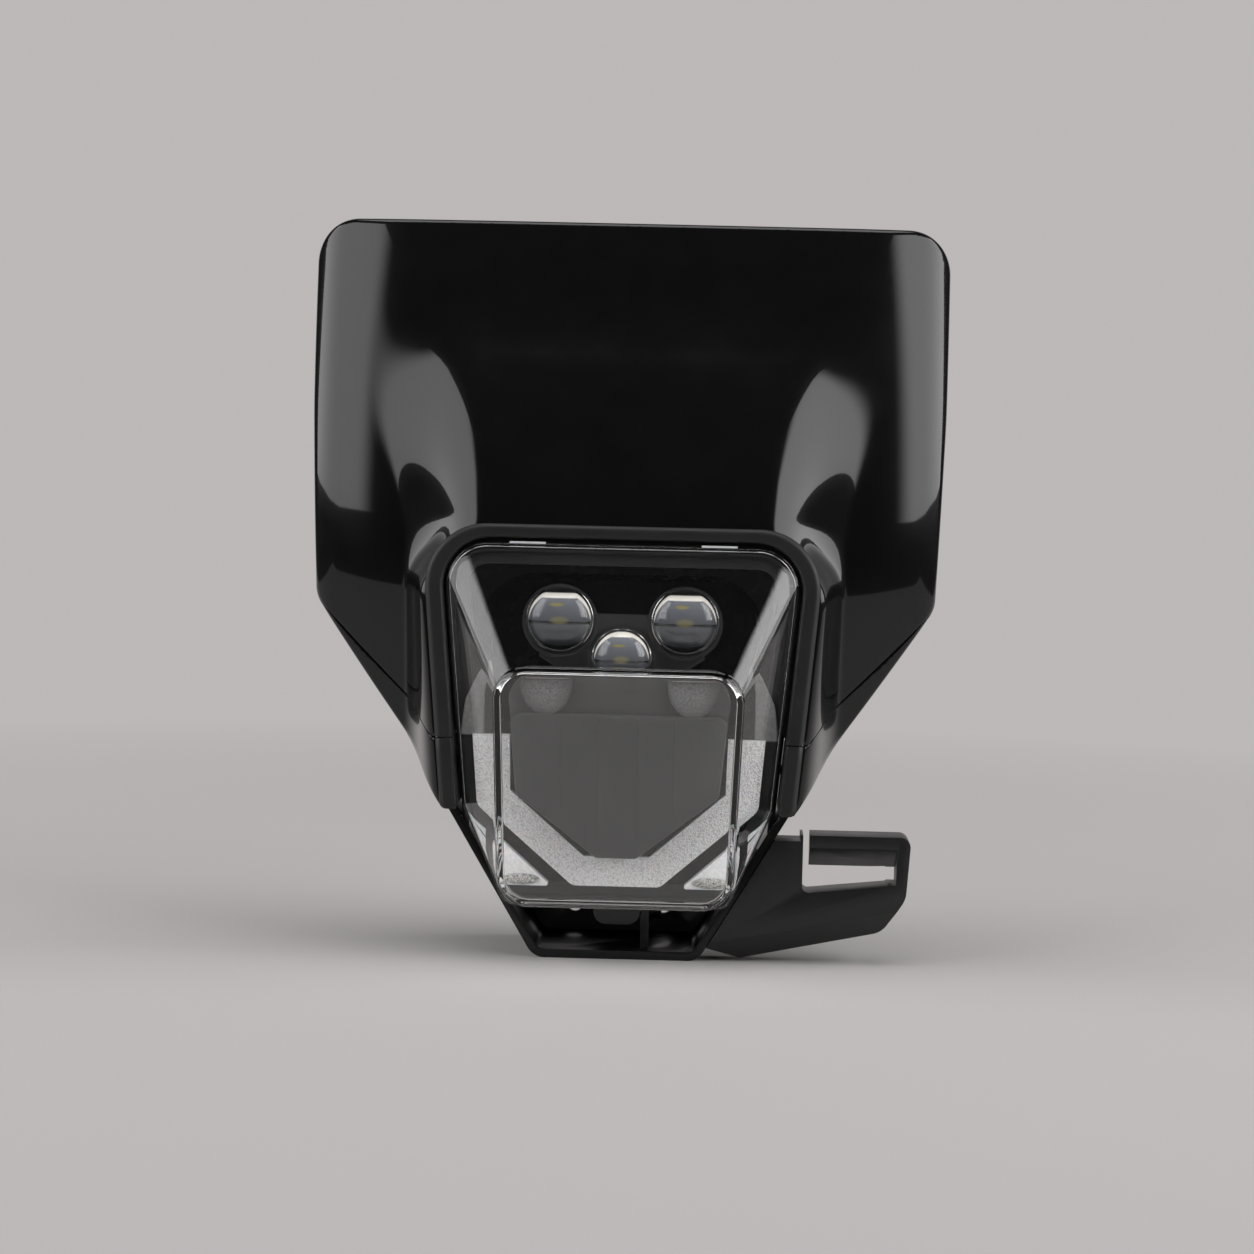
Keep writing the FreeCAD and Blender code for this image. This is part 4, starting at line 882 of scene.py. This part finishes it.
lens = {"half": 67.0, "topZ": 163.9, "r": 16.0, "elbowZ": 62.0, "footHalf": 43.5, "footZ": 22.5, "footR": 6.0,
        "backY": -27.0, "flange": 4.0, "frontY": -57.9, "wall": 2.6, "blockHalf": 48.6, "blockTopZ": 118.2,
        "blockFootHalf": 45.3, "blockFootZ": 24.6, "blockR": 12.5, "blockFootR": 13.0, "step": 5.0,
        "edge": 1.5, "tilt": 4.0, "tabHalf": 37.2, "tabWide": 14.5, "tabHigh": 0.7, "tabThick": 2.4}


def lensOutline():
    return bothSides([(lens["footHalf"], lens["footZ"], lens["footR"]),
                      (leg(lens["half"], lens["elbowZ"]), lens["elbowZ"], 0.0),
                      (leg(lens["half"], lens["topZ"]), lens["topZ"], lens["r"])])


def blockOutline():
    share = (lens["elbowZ"] - lens["blockFootZ"]) / (lens["blockTopZ"] - lens["blockFootZ"])
    middle = lens["blockFootHalf"] + (lens["blockHalf"] - lens["blockFootHalf"]) * share
    return bothSides([(lens["blockFootHalf"], lens["blockFootZ"], lens["blockFootR"]),
                      (middle, lens["elbowZ"], 0.0),
                      (lens["blockHalf"], lens["blockTopZ"], lens["blockR"])])


def lensTilt(point):
    x, y, z = point
    a = math.radians(lens["tilt"])
    dy, dz = y - lens["frontY"], z - lens["blockTopZ"]
    return (x, lens["frontY"] + dy * math.cos(a) - dz * math.sin(a),
            lens["blockTopZ"] + dy * math.sin(a) + dz * math.cos(a))


def lensRings(shrink):
    # From the back of the rim to the middle of the front face
    def ring(outline, y, turned=False):
        points = [(x, y, z) for x, z in trace(outline, 14, 10)]
        return [lensTilt(p) for p in points] if turned else points

    rim, block = inset(lensOutline(), shrink), inset(blockOutline(), shrink)
    stepY, faceY = lens["backY"] - lens["flange"] + shrink, lens["frontY"] + shrink
    rimEdge, edge = (0.8, lens["edge"]) if shrink == 0 else (0.3, lens["edge"] / 2)
    rings = [ring(inset(rim, 0.0), lens["backY"])]
    rings += [ring(inset(rim, rimEdge * sunk), stepY + rimEdge * left) for sunk, left in quarter(4)]
    start, goal = rings[-1], ring(block, faceY + lens["step"], True)
    for share in (0.04, 0.3, 0.6, 0.9, 1.0):
        rings.append([tuple(a + (b - a) * share for a, b in zip(p, q)) for p, q in zip(start, goal)])
    rings.append(ring(block, faceY + (lens["step"] + edge) / 2, True))
    rings += [ring(inset(block, edge * sunk), faceY + edge * left, True) for sunk, left in quarter(8)]
    return rings + [ring(inset(block, edge + 0.5), faceY, True)]


def lensTabs():
    # The rim's two tongues, as sections across the tongue swept from one end to the other
    back, half = lens["backY"] - 0.6, lens["tabWide"] / 2
    z0, z1, front = lens["topZ"] - 0.5, lens["topZ"] + lens["tabHigh"], back - lens["tabThick"]
    section = [(front + 0.3, z0), (front, z0 + 0.3), (front, z1 - 0.25), (front + 0.25, z1), (back, z1),
               (back, z0)]
    return [loft([[(x + shift, y, z) for y, z in section] for shift in (-half, half)])
            for x in (-lens["tabHalf"], lens["tabHalf"])]


inner, outer = lensRings(lens["wall"]), lensRings(0)
lensObject = makeObject("lensCover", [loft(list(reversed(inner)) + outer)] + lensTabs(), "lensClear", 30)
settle(lensObject, "lamp", "lens_clear", "lens_cover")
print("lens done")


# Cheeks: lower wing skin and lower leg end

# For each side, the ending of a piece's name and that of its CAD node
sideNames = {-1: ("Left", "left"), 1: ("Right", "right")}


def makeCheek(side):
    name, node = sideNames[side]
    piece = wrapped("cheek" + name, cheekParts)
    joinInto(piece, [cheekLeg()], "surroundMatte")
    if side < 0:
        piece.data.transform(Matrix.Scale(-1, 4, Vector((1, 0, 0))))
        tidyMesh(piece.data, 38)
    piece.data.set_sharp_from_angle(angle=math.radians(38))
    settle(piece, "mask", "cheek_satin", "cheek_" + node)


for side in (-1, 1):
    makeCheek(side)
print("cheeks done")


# Projector lenses: a dome with a bright conical collar, which catches the light from above

eyes = {
    "eyeLeft": {"at": (-24.5, 133.4), "r": 13.1, "flat": 11.2, "node": "projector_lens_left"},
    "eyeRight": {"at": (24.5, 133.4), "r": 13.1, "flat": 11.2, "node": "projector_lens_right"},
    "eyeCentre": {"at": (0.0, 118.6), "r": 11.6, "flat": 11.3, "node": "projector_lens_centre"},
}
eyeForm = {"collar": 0.9, "baseY": -18.5, "edgeY": -19.2, "rimY": -20.7, "frontY": -26.1, "steps": 64,
           "rings": 15, "topShare": 0.8}


def eyeRing(eye, radius, y):
    cx, cz = eye["at"]
    top = eye["flat"] - (eye["r"] - radius) * eyeForm["topShare"]
    return [(cx + radius * math.cos(a), y, cz + min(radius * math.sin(a), top))
            for a in around(eyeForm["steps"])]


def makeEye(name, eye):
    form = eyeForm
    inner, (cx, cz) = eye["r"] - form["collar"], eye["at"]
    edgeY, rimY, count = form["edgeY"], form["rimY"], form["rings"]
    rings = [eyeRing(eye, inner, edgeY)]
    for a in (math.pi / 2 * k / count for k in range(count)):
        rings.append(eyeRing(eye, inner * math.cos(a), rimY + 0.2 - (rimY - form["frontY"]) * math.sin(a)))
    # The dome's colour is painted light: a painted reflection, with a glowing painted highlight over its top
    piece = makeObject(name, [loft(rings)], "eyePaint", 50)
    level = eye["flat"] - form["collar"] * form["topShare"]
    for label, k, middle, reach in (("eyeAcross", 0, cx, inner), ("eyeHeight", 2, cz, inner),
                                    ("eyeTop", 2, cz, level)):
        note(piece.data, label, [(v.co[k] * 1000 - middle) / reach for v in piece.data.vertices])
    collar = [eyeRing(eye, radius, y) for radius, y in (
        (inner - 0.4, edgeY), (inner, rimY), (inner + 0.15, rimY), (eye["r"] - 0.15, edgeY - 0.1),
        (eye["r"], edgeY), (eye["r"], form["baseY"]))]
    joinInto(piece, [loft(collar)], "reflectorBright", 20)
    settle(piece, "lamp", "eye_glass", eye["node"])


for name, eye in eyes.items():
    makeEye(name, eye)
print("eyes done:", len(eyes))


# Lower optics: cups with a flat top, white corner reflectors and grainy patches of painted sparkle at their
# foot

cup = {"x": 28.5, "top": 112.6, "a": 10.2, "b": 14.4, "rimY": -39.4, "bowlY": -36.6, "backY": -36.0,
       "power": 0.8, "topDrop": 1.6, "rim": 0.93, "bowl": 0.6, "arcSteps": 24, "topSteps": 12, "rings": 8}


def cupRing(side, scale, y):
    x, a, b = side * cup["x"], cup["a"] * scale, cup["b"] * scale
    top = cup["top"] - cup["topDrop"] * (1.0 - scale)
    turns = [math.pi * k / cup["arcSteps"] for k in range(cup["arcSteps"] + 1)]
    ring = [(x + a * math.cos(t), y, top - b * math.sin(t) ** cup["power"]) for t in turns]
    return ring + [(x - a * (1 - 2 * k / cup["topSteps"]), y, top) for k in range(1, cup["topSteps"])]


def makeCup(side):
    name, node = sideNames[side]
    rimY, deep = cup["rimY"], cup["bowlY"] - cup["rimY"]
    rings = [cupRing(side, 1.0, cup["backY"]), cupRing(side, 1.0, rimY + 0.3), cupRing(side, 0.98, rimY),
             cupRing(side, cup["rim"], rimY + 0.1)]
    for t in (k / cup["rings"] for k in range(1, cup["rings"] + 1)):
        rings.append(cupRing(side, cup["rim"] - cup["bowl"] * t, rimY + deep * math.sin(t * math.pi / 2)))
    piece = makeObject("cup" + name, [loft(rings)], "cupHaze", 45)
    # Painted sheen: the cup's colour is pale in its middle and dark towards its rim
    away = [math.hypot((v.co.x * 1000 - side * cup["x"]) / cup["a"], (cup["top"] - v.co.z * 1000) / cup["b"])
            for v in piece.data.vertices]
    note(piece.data, "shine", [min(max((0.95 - d) / 0.5, 0.0), 1.0) for d in away])
    settle(piece, "lamp", "reflector_bright", "reflector_cup_" + node)


corner = {"outline": [(25.2, 31.0, 0.8), (44.2, 31.0, 2.4), (45.2, 48.8, 0.8)], "frontY": -33.3,
          "backY": -27.0, "edge": 0.5, "grainX": 37.0, "grainZ": 33.6, "grainA": 7.4, "grainB": 2.2}


def makeCorner(side):
    name, node = sideNames[side]
    wall = slab(corner["outline"], corner["backY"], corner["frontY"], corner["edge"], (6, 4), side)
    piece = makeObject("corner" + name, [wall], "cornerWhite", 30)
    # A grainy patch at the corner's foot, painted with bright specks: painted sparkle
    turns = [math.pi * (k / 10 - 0.5) for k in range(11)]
    grain = lathe([(corner["grainB"] * math.cos(a) + 0.01, corner["grainA"] * math.sin(a)) for a in turns],
                  (side * corner["grainX"], corner["frontY"] - 0.3, corner["grainZ"]), "X", 24)
    joinInto(piece, [grain], "grainBright", 60)
    settle(piece, "lamp", "corner_white", "corner_reflector_" + node)


# Panel between the cups and the light bar, with a higher field behind the cups

panel = {"outline": [(7.8, 43.6, 3.0), (39.3, 68.0, 4.0), (42.3, 99.0, 4.0)], "frontY": -42.0, "backY": -26.6,
         "edge": 0.8, "field": [(42.0, 96.0, 0.5), (44.4, 113.9, 10.0)], "fieldY": -36.3, "fieldEdge": 0.5,
         "lines": (-21.5, -7.6, 7.6, 21.5), "lineZ": (52.0, 98.0), "lineHalf": 0.25}


def makePanel():
    parts = [slab(bothSides(panel["outline"]), panel["backY"], panel["frontY"], panel["edge"]),
             slab(bothSides(panel["field"]), panel["backY"], panel["fieldY"], panel["fieldEdge"])]
    low, high = panel["lineZ"]
    half, front, back = panel["lineHalf"], panel["frontY"] - 0.18, panel["frontY"] + 0.3
    for x in panel["lines"]:
        foot = low + max(abs(x) - 8.0, 0.0) * 0.8
        parts.append(loft([[(x - half, back, z), (x, front, z), (x + half, back, z)] for z in (foot, high)]))
    settle(makeObject("shieldPanel", parts, "panelGrey", 40), "lamp", "panel_grey", "shield_panel")


makePanel()
for side in (-1, 1):
    makeCup(side)
    makeCorner(side)
print("lower optics done")


# Bright facets beside the foot of the lens block, fanned out from the bar's bend

facets = {"tip": (57.0, 59.0), "side": 48.9, "stops": ((52.6, 50.2), (49.2, 45.6), (44.8, 40.6)),
          "frontY": -30.4, "backY": -27.6}
# Pale flanks beside the block, above the ends of the light bar
flank = {"outline": [(50.6, 89.0, 1.0), (60.5, 89.0, 1.0), (58.5, 103.0, 8.0), (50.6, 119.0, 0.6)],
         "frontY": -29.0, "backY": -27.4, "edge": 0.4}


def makeFacets(side):
    parts = []
    for high, low in facets["stops"]:
        outline = [(facets["side"], high), (facets["side"], low), facets["tip"]]
        parts.append(loft([[(side * x, y, z) for x, z in outline]
                           for y in (facets["backY"], facets["frontY"])]))
    settle(makeObject("facets" + sideNames[side][0], parts, "cornerWhite", 30), "lamp", "corner_white")


def makeFlank(side):
    wall = slab(flank["outline"], flank["backY"], flank["frontY"], flank["edge"], (6, 4), side,
                bevel=((0.0, 1.0), (1.0, 0.0)))
    settle(makeObject("flank" + sideNames[side][0], [wall], "flankHaze", 30), "lamp", "carrier_grey")


for side in (-1, 1):
    makeFacets(side)
    makeFlank(side)


# Bright bead round the lens rim and white faces on its two tongues, which stand in for painted highlights

bead = {"inset": 1.4, "r": 0.28, "y": -31.0, "steps": 8}


def makeBead():
    path = trace(inset(lensOutline(), bead["inset"]), 14, 10)
    middle = sum((Vector(p) for p in path), Vector((0, 0))) / len(path)
    rings = []
    for i, (x, z) in enumerate(path + path[:1]):
        along = (Vector(path[(i + 1) % len(path)]) - Vector(path[i - 1])).normalized()
        outwards = Vector((along.y, -along.x))
        if outwards.dot(Vector((x, z)) - middle) < 0:
            outwards = -outwards
        rings.append([(x + outwards.x * bead["r"] * math.cos(a), bead["y"] + bead["r"] * math.sin(a),
                       z + outwards.y * bead["r"] * math.cos(a)) for a in around(bead["steps"])])
    # A bright bead set where the rim shows only a highlight line: a painted highlight
    piece = makeObject("lensBead", [loft(rings, capEnds=False)], "reflectorBright", 60)
    settle(piece, "lamp", "reflector_bright")


def makeTongueHighlights():
    half, z = lens["tabWide"] / 2 - 0.3, lens["topZ"] + 0.15
    y0, y1 = lens["backY"] - 0.6 - lens["tabThick"] - 0.08, lens["backY"] - 2.2
    section = [(y0, z - 0.4), (y0, z + 0.4), (y1, z + 0.5), (y1, z - 0.4)]
    parts = [loft([[(x + shift, y, height) for y, height in section] for shift in (-half, half)])
             for x in (-lens["tabHalf"], lens["tabHalf"])]
    # White strips on the tongues' edges: a painted highlight
    settle(makeObject("tongueFaces", parts, "cornerWhite", 30), "lamp", "corner_white")


makeBead()
makeTongueHighlights()


# Moulded pieces with straight walls: their own shape with every sharp edge rounded

softPieces = {
    "frameSoft": {"node": "lower_frame", "finish": "frameGloss", "slot": "frame_gloss", "width": 0.8},
    "guideSoft": {"node": "hose_guide", "finish": "guideSatin", "slot": "guide_satin", "width": 0.9},
    "housingSoft": {"node": "lamp_housing", "finish": "housingBlack", "slot": "housing_black", "width": 0.4,
                    "body": "lamp"},
    "socketSoft": {"node": "connector_socket", "finish": "socketBlack", "slot": "socket_black", "width": 0.35,
                   "body": "lamp"},
    "carrierSoft": {"node": "lens_carrier", "finish": "carrierGrey", "slot": "carrier_grey", "width": 0.3,
                    "body": "lamp"},
}


def makeSoft(name, look):
    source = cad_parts[look["node"]]
    mesh = source.data.copy()
    mesh.transform(source.matrix_world)
    mesh.materials.clear()
    mesh.materials.append(finishes[look["finish"]])
    work = bmesh.new()
    work.from_mesh(mesh)
    bmesh.ops.remove_doubles(work, verts=work.verts, dist=2e-6)
    for face in work.faces:
        face.material_index = 0
    bmesh.ops.dissolve_limit(work, angle_limit=math.radians(1.0), verts=work.verts, edges=work.edges)
    work.to_mesh(mesh)
    work.free()
    piece = placed(name, mesh)
    bevel = piece.modifiers.new("edges", "BEVEL")
    bevel.width = look["width"] * mm
    bevel.segments = 2
    bevel.limit_method = "ANGLE"
    bevel.angle_limit = math.radians(40)
    bake(piece)
    tidyMesh(piece.data, 32)
    settle(piece, look.get("body", "mask"), look["slot"], look["node"])


for name, look in softPieces.items():
    makeSoft(name, look)
print("moulded pieces softened:", len(softPieces))


# Repeated pieces: a node tree sets one copy on each place, stretched by its own amount

def copiesTree():
    kinds = {"Geometry": "Geometry", "Copy": "Object", "Material": "Material"}
    tree, size, out = newGroup("placeCopies", kinds, {"Geometry": "Geometry"})
    model = addNode(tree, "GeometryNodeObjectInfo", {"Object": size["Copy"], "As Instance": True})
    stretch = addNode(tree, "GeometryNodeInputNamedAttribute", {"Name": "stretch"})
    scale = addNode(tree, "ShaderNodeCombineXYZ", {"X": 1.0, "Y": 1.0, "Z": stretch.outputs[0]})
    put = addNode(tree, "GeometryNodeInstanceOnPoints", {
        "Points": size["Geometry"], "Instance": model.outputs["Geometry"], "Scale": scale.outputs[0]})
    endGroup(tree, put.outputs["Instances"], size["Material"], out)
    return tree


placeCopies = copiesTree()


def makeCopies(name, places, model, finish, sharpAngle=38):
    # places: (x, y, z, stretch)
    copy = makeObject(name + "Model", [model], finish, sharpAngle)
    piece = grown(name, [(x * mm, y * mm, z * mm) for x, y, z, _ in places], [],
                  {"stretch": [p[3] for p in places]}, placeCopies,
                  {"Copy": copy, "Material": finishes[finish]}, sharpAngle)
    bpy.data.objects.remove(copy)
    return piece


screw = {"tip": 0.8, "tipLong": 0.4, "shoulder": 0.7, "socket": 0.55, "socketDepth": 0.6, "steps": 48}


def screwModel(r, headR, headT, length):
    # Shank towards the front, head and hexagon socket at the back
    def hexagon(a):
        return headR * screw["socket"] * math.cos(math.pi / 6) / math.cos(a % (math.pi / 3) - math.pi / 6)

    def ring(radius, y):
        return [(radius(a) * math.cos(a), y, radius(a) * math.sin(a)) for a in around(screw["steps"])]

    profile = [(r * screw["tip"], -length), (r, -length + screw["tipLong"]), (r, 0.0), (headR, 0.0),
               (headR, headT * screw["shoulder"]), (headR - 0.15, headT - 0.18), (headR - 0.6, headT)]
    rings = [ring(lambda a, radius=radius: radius, y) for radius, y in profile]
    return loft(rings + [ring(hexagon, y) for y in (headT, headT * (1.0 - screw["socketDepth"]))])


heatSink = {"half": 36.0, "footZ": 72.0, "topZ": 140.0, "r": 4.0, "frontY": 34.0, "plateY": 38.0, "edge": 0.5,
            "finBackY": 58.0, "finT": 2.0, "finHigh": 60.0, "finCount": 9, "finEdge": 4.0, "screwIn": 7.0,
            "shortFin": 0.74}
seatScrew = {"r": 1.9, "headR": 3.6, "headT": 2.2}


def finModel():
    sink = heatSink
    half, back, root = sink["finT"] / 2, sink["finBackY"], sink["plateY"] - 1.0
    section = [(-half, root), (0.25 - half, back - 0.7), (0.75 - half, back), (half - 0.75, back),
               (half - 0.25, back - 0.7), (half, root)]
    high = sink["finHigh"] / 2
    return loft([[(x, min(y, back - less), z) for x, y in section]
                 for z, less in ((-high, 0.5), (0.5 - high, 0.0), (high - 0.5, 0.0), (high, 0.5))])


def makeHeatSink():
    sink = heatSink
    half, foot, top, count = sink["half"], sink["footZ"], sink["topZ"], sink["finCount"]
    first = sink["finEdge"] + sink["finT"] / 2 - half
    places = [(first - 2 * first * k / (count - 1), 0.0, (foot + top) / 2,
               sink["shortFin"] if k in (0, count - 1) else 1.0) for k in range(count)]
    piece = makeCopies("heatSinkFins", places, finModel(), "sinkAluminium")
    outline = bothSides([(half, foot, sink["r"]), (half, top, sink["r"])])
    joinInto(piece, [slab(outline, sink["frontY"], sink["plateY"], sink["edge"])], "sinkAluminium")
    settle(piece, "lamp", "sink_aluminium", "heat_sink")
    seats = [(side * (half - sink["screwIn"]), sink["plateY"], z, 1.0) for side in (-1, 1)
             for z in (foot + sink["screwIn"], top - sink["screwIn"])]
    screws = makeCopies("heatSinkScrews", seats, screwModel(**seatScrew, length=3.8), "screwSteel", 30)
    settle(screws, "lamp", "screw_steel", "heat_sink_screws")


makeHeatSink()
earScrews = makeCopies("surroundScrews", [(side * 38.0, -8.7, 179.0, 1.0) for side in (-1, 1)],
                       screwModel(**seatScrew, length=9.0), "blackSteel", 30)
settle(earScrews, "mask", "screw_steel", "surround_screws")


pivot = {"seatX": 72.135, "z": 140.0}
pivotScrew = {"r": 2.4, "headR": 4.5, "headT": 3.0, "length": 12.4}


def makePivotScrews():
    # Laid along X, heads outwards
    model, faces = screwModel(**pivotScrew)
    parts = [([(side * (pivot["seatX"] + y), x, pivot["z"] + z) for x, y, z in model], faces)
             for side in (-1, 1)]
    settle(makeObject("pivotScrews", parts, "screwSteel", 30), "mask", "screw_steel", "pivot_screws")


makePivotScrews()
print("screws and fins placed")


# CAD nodes that keep their shape, and the finish each one gets

nodeFinish = {
    "lens_seal": "sealRubber", "inner_bezel": "bezelBlack", "led_board": "boardDark",
    "led_chips": "chipYellow", "light_bar": "barFrosted", "light_bar_board": "boardDark",
    "connector_pins": "pinBrass", "vent_cap": "socketBlack", "frame_screws": "blackSteel",
    "hose_guide_screws": "screwSteel", "mount_grommets": "grommetRubber", "mount_sleeves": "sleeveSteel",
    "clamp_screw": "blackSteel", "clamp_washer": "blackSteel",
}
for nodeName, finish in nodeFinish.items():
    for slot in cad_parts[nodeName].material_slots:
        slot.material = finishes[finish]


# Studio: floor and backdrop in one sweep, softboxes, camera

studio = {"floorFront": -0.9, "floorBack": 1.6, "wallTop": 2.8, "bend": 0.6, "half": 1.5,
          "tone": (0.557, 0.536, 0.530), "glow": (0.505, 0.482, 0.476), "air": (0.03, 0.03, 0.03),
          "fadeStart": 0.20, "fadeEnd": 0.9}


def makeStudio():
    s = studio
    profile = [(s["floorFront"], 0.0), (-0.4, 0.0), (0.2, 0.0), (s["floorBack"], 0.0)]
    for k in range(1, 13):
        a = math.pi / 2 * k / 12
        profile.append((s["floorBack"] + s["bend"] * math.sin(a), s["bend"] * (1 - math.cos(a))))
    profile.append((s["floorBack"] + s["bend"], s["wallTop"]))
    points = [(x, y, z) for y, z in profile for x in (-s["half"], s["half"])]
    faces = [(2 * i, 2 * i + 1, 2 * i + 3, 2 * i + 2) for i in range(len(profile) - 1)]
    mesh = bpy.data.meshes.new("studioSweep")
    mesh.from_pydata(points, [], faces)
    mesh.shade_smooth()
    sweep = placed("studioSweep", mesh)
    material, tree, shader = newMaterial("studioPaper", s["tone"], 0.9, {"Specular IOR Level": 0.1})
    dark = tuple(c * 0.96 for c in s["tone"])
    feed(tree, shader.inputs["Base Color"], tint(tree, noiseAt(tree, 900.0, 2.0), dark, s["tone"]))
    mesh.materials.append(material)
    # Away from the part the paper turns into an even pale tone, which the air beyond it has too
    glow = addNode(tree, "ShaderNodeEmission", {"Color": (*s["glow"], 1.0), "Strength": 1.0})
    rays = addNode(tree, "ShaderNodeLightPath").outputs
    seen = Wire(tree, rays["Is Camera Ray"]).most(rays["Is Glossy Ray"]).most(rays["Is Transmission Ray"])
    away = addNode(tree, "ShaderNodeVectorMath", {0: objectPlace(tree)}, operation="LENGTH")
    far = Wire(tree, away.outputs["Value"]).ranged(s["fadeStart"], s["fadeEnd"])
    mixShaders(tree, seen * far, shader, glow)


def makeAir():
    world = bpy.data.worlds.new("studioAir")
    bpy.context.scene.world = world
    world.use_nodes = True
    tree = world.node_tree
    seen = addNode(tree, "ShaderNodeLightPath").outputs["Is Camera Ray"]
    feed(tree, tree.nodes["Background"].inputs["Color"], tint(tree, seen, studio["air"], studio["glow"]))


def softbox(name, look):
    # An upright panel facing the part; azimuths run from the camera side, positive to the right
    low, high = (math.radians(a) for a in look["azimuths"])
    a, half = (low + high) / 2, math.tan((high - low) / 2) * look["away"]
    foot, top = (0.14 + look["away"] * math.tan(math.radians(e)) for e in look["elevations"])
    way = Vector((math.sin(a), -math.cos(a), 0.0))
    area = areaLight(name, 2 * half, top - foot, look["radiance"], look["fade"] * (1 if a < 0 else -1))
    area.location = way * look["away"] + Vector((0, 0, (foot + top) / 2))
    area.rotation_euler = way.to_track_quat("Z", "Y").to_euler()


def areaLight(name, wide, high, radiance, fade=0.0):
    # A fade above 0 dims that share of the +X end of the panel, and one below 0 of the -X end
    data = bpy.data.lights.new(name, "AREA")
    if fade:
        data.use_nodes = True
        tree = data.node_tree
        spot = addNode(tree, "ShaderNodeNewGeometry").outputs["Parametric"]
        along = Wire(tree, addNode(tree, "ShaderNodeSeparateXYZ", {0: spot}).outputs["X"])
        level = (1.0 - along if fade > 0 else along).ranged(0.0, abs(fade), curve="SMOOTHERSTEP")
        feed(tree, tree.nodes["Emission"].inputs["Strength"], level)
    data.shape = "RECTANGLE"
    data.size, data.size_y = wide, high
    data.energy = radiance * math.pi * wide * high
    area = placed(name, data)
    area.visible_camera = False
    return area


softboxes = {
    "sideLeft": {"azimuths": (-110, -35), "elevations": (3, 45), "away": 1.5, "radiance": 2.5, "fade": 0.17},
    "sideRight": {"azimuths": (39, 110), "elevations": (3, 45), "away": 1.5, "radiance": 3.3, "fade": 0.17},
}
overhead = {"wide": 1.5, "deep": 0.9, "place": (0.0, -0.15, 1.6), "radiance": 2.4}


def makeLights():
    for name, look in softboxes.items():
        softbox(name, look)
    above = areaLight("overhead", overhead["wide"], overhead["deep"], overhead["radiance"])
    above.location = overhead["place"]


view = {"aim": (1.8, -20.0, 131.6), "distance": 1350.0, "elevation": 4.3, "yaw": 1.3, "roll": 1.3,
        "pixelSize": 0.3907, "frame": 1254}


def makeCamera():
    e, a, r = (math.radians(view[k]) for k in ("elevation", "yaw", "roll"))
    away = Vector((math.sin(a) * math.cos(e), -math.cos(a) * math.cos(e), math.sin(e)))
    right = Vector((0, 0, 1)).cross(away).normalized()
    up = away.cross(right)
    turnedRight = right * math.cos(r) + up * math.sin(r)
    turnedUp = up * math.cos(r) - right * math.sin(r)
    data = bpy.data.cameras.new("studioCamera")
    data.sensor_width = 36.0
    data.lens = 36.0 * view["distance"] / (view["pixelSize"] * view["frame"])
    camera = placed("studioCamera", data)
    axes = Matrix((turnedRight, turnedUp, away)).transposed().to_4x4()
    axes.translation = (Vector(view["aim"]) + away * view["distance"]) * mm
    camera.matrix_world = axes
    bpy.context.scene.camera = camera


makeStudio()
makeAir()
makeLights()
makeCamera()
bpy.context.scene.view_settings.view_transform = "Standard"
print("studio done")
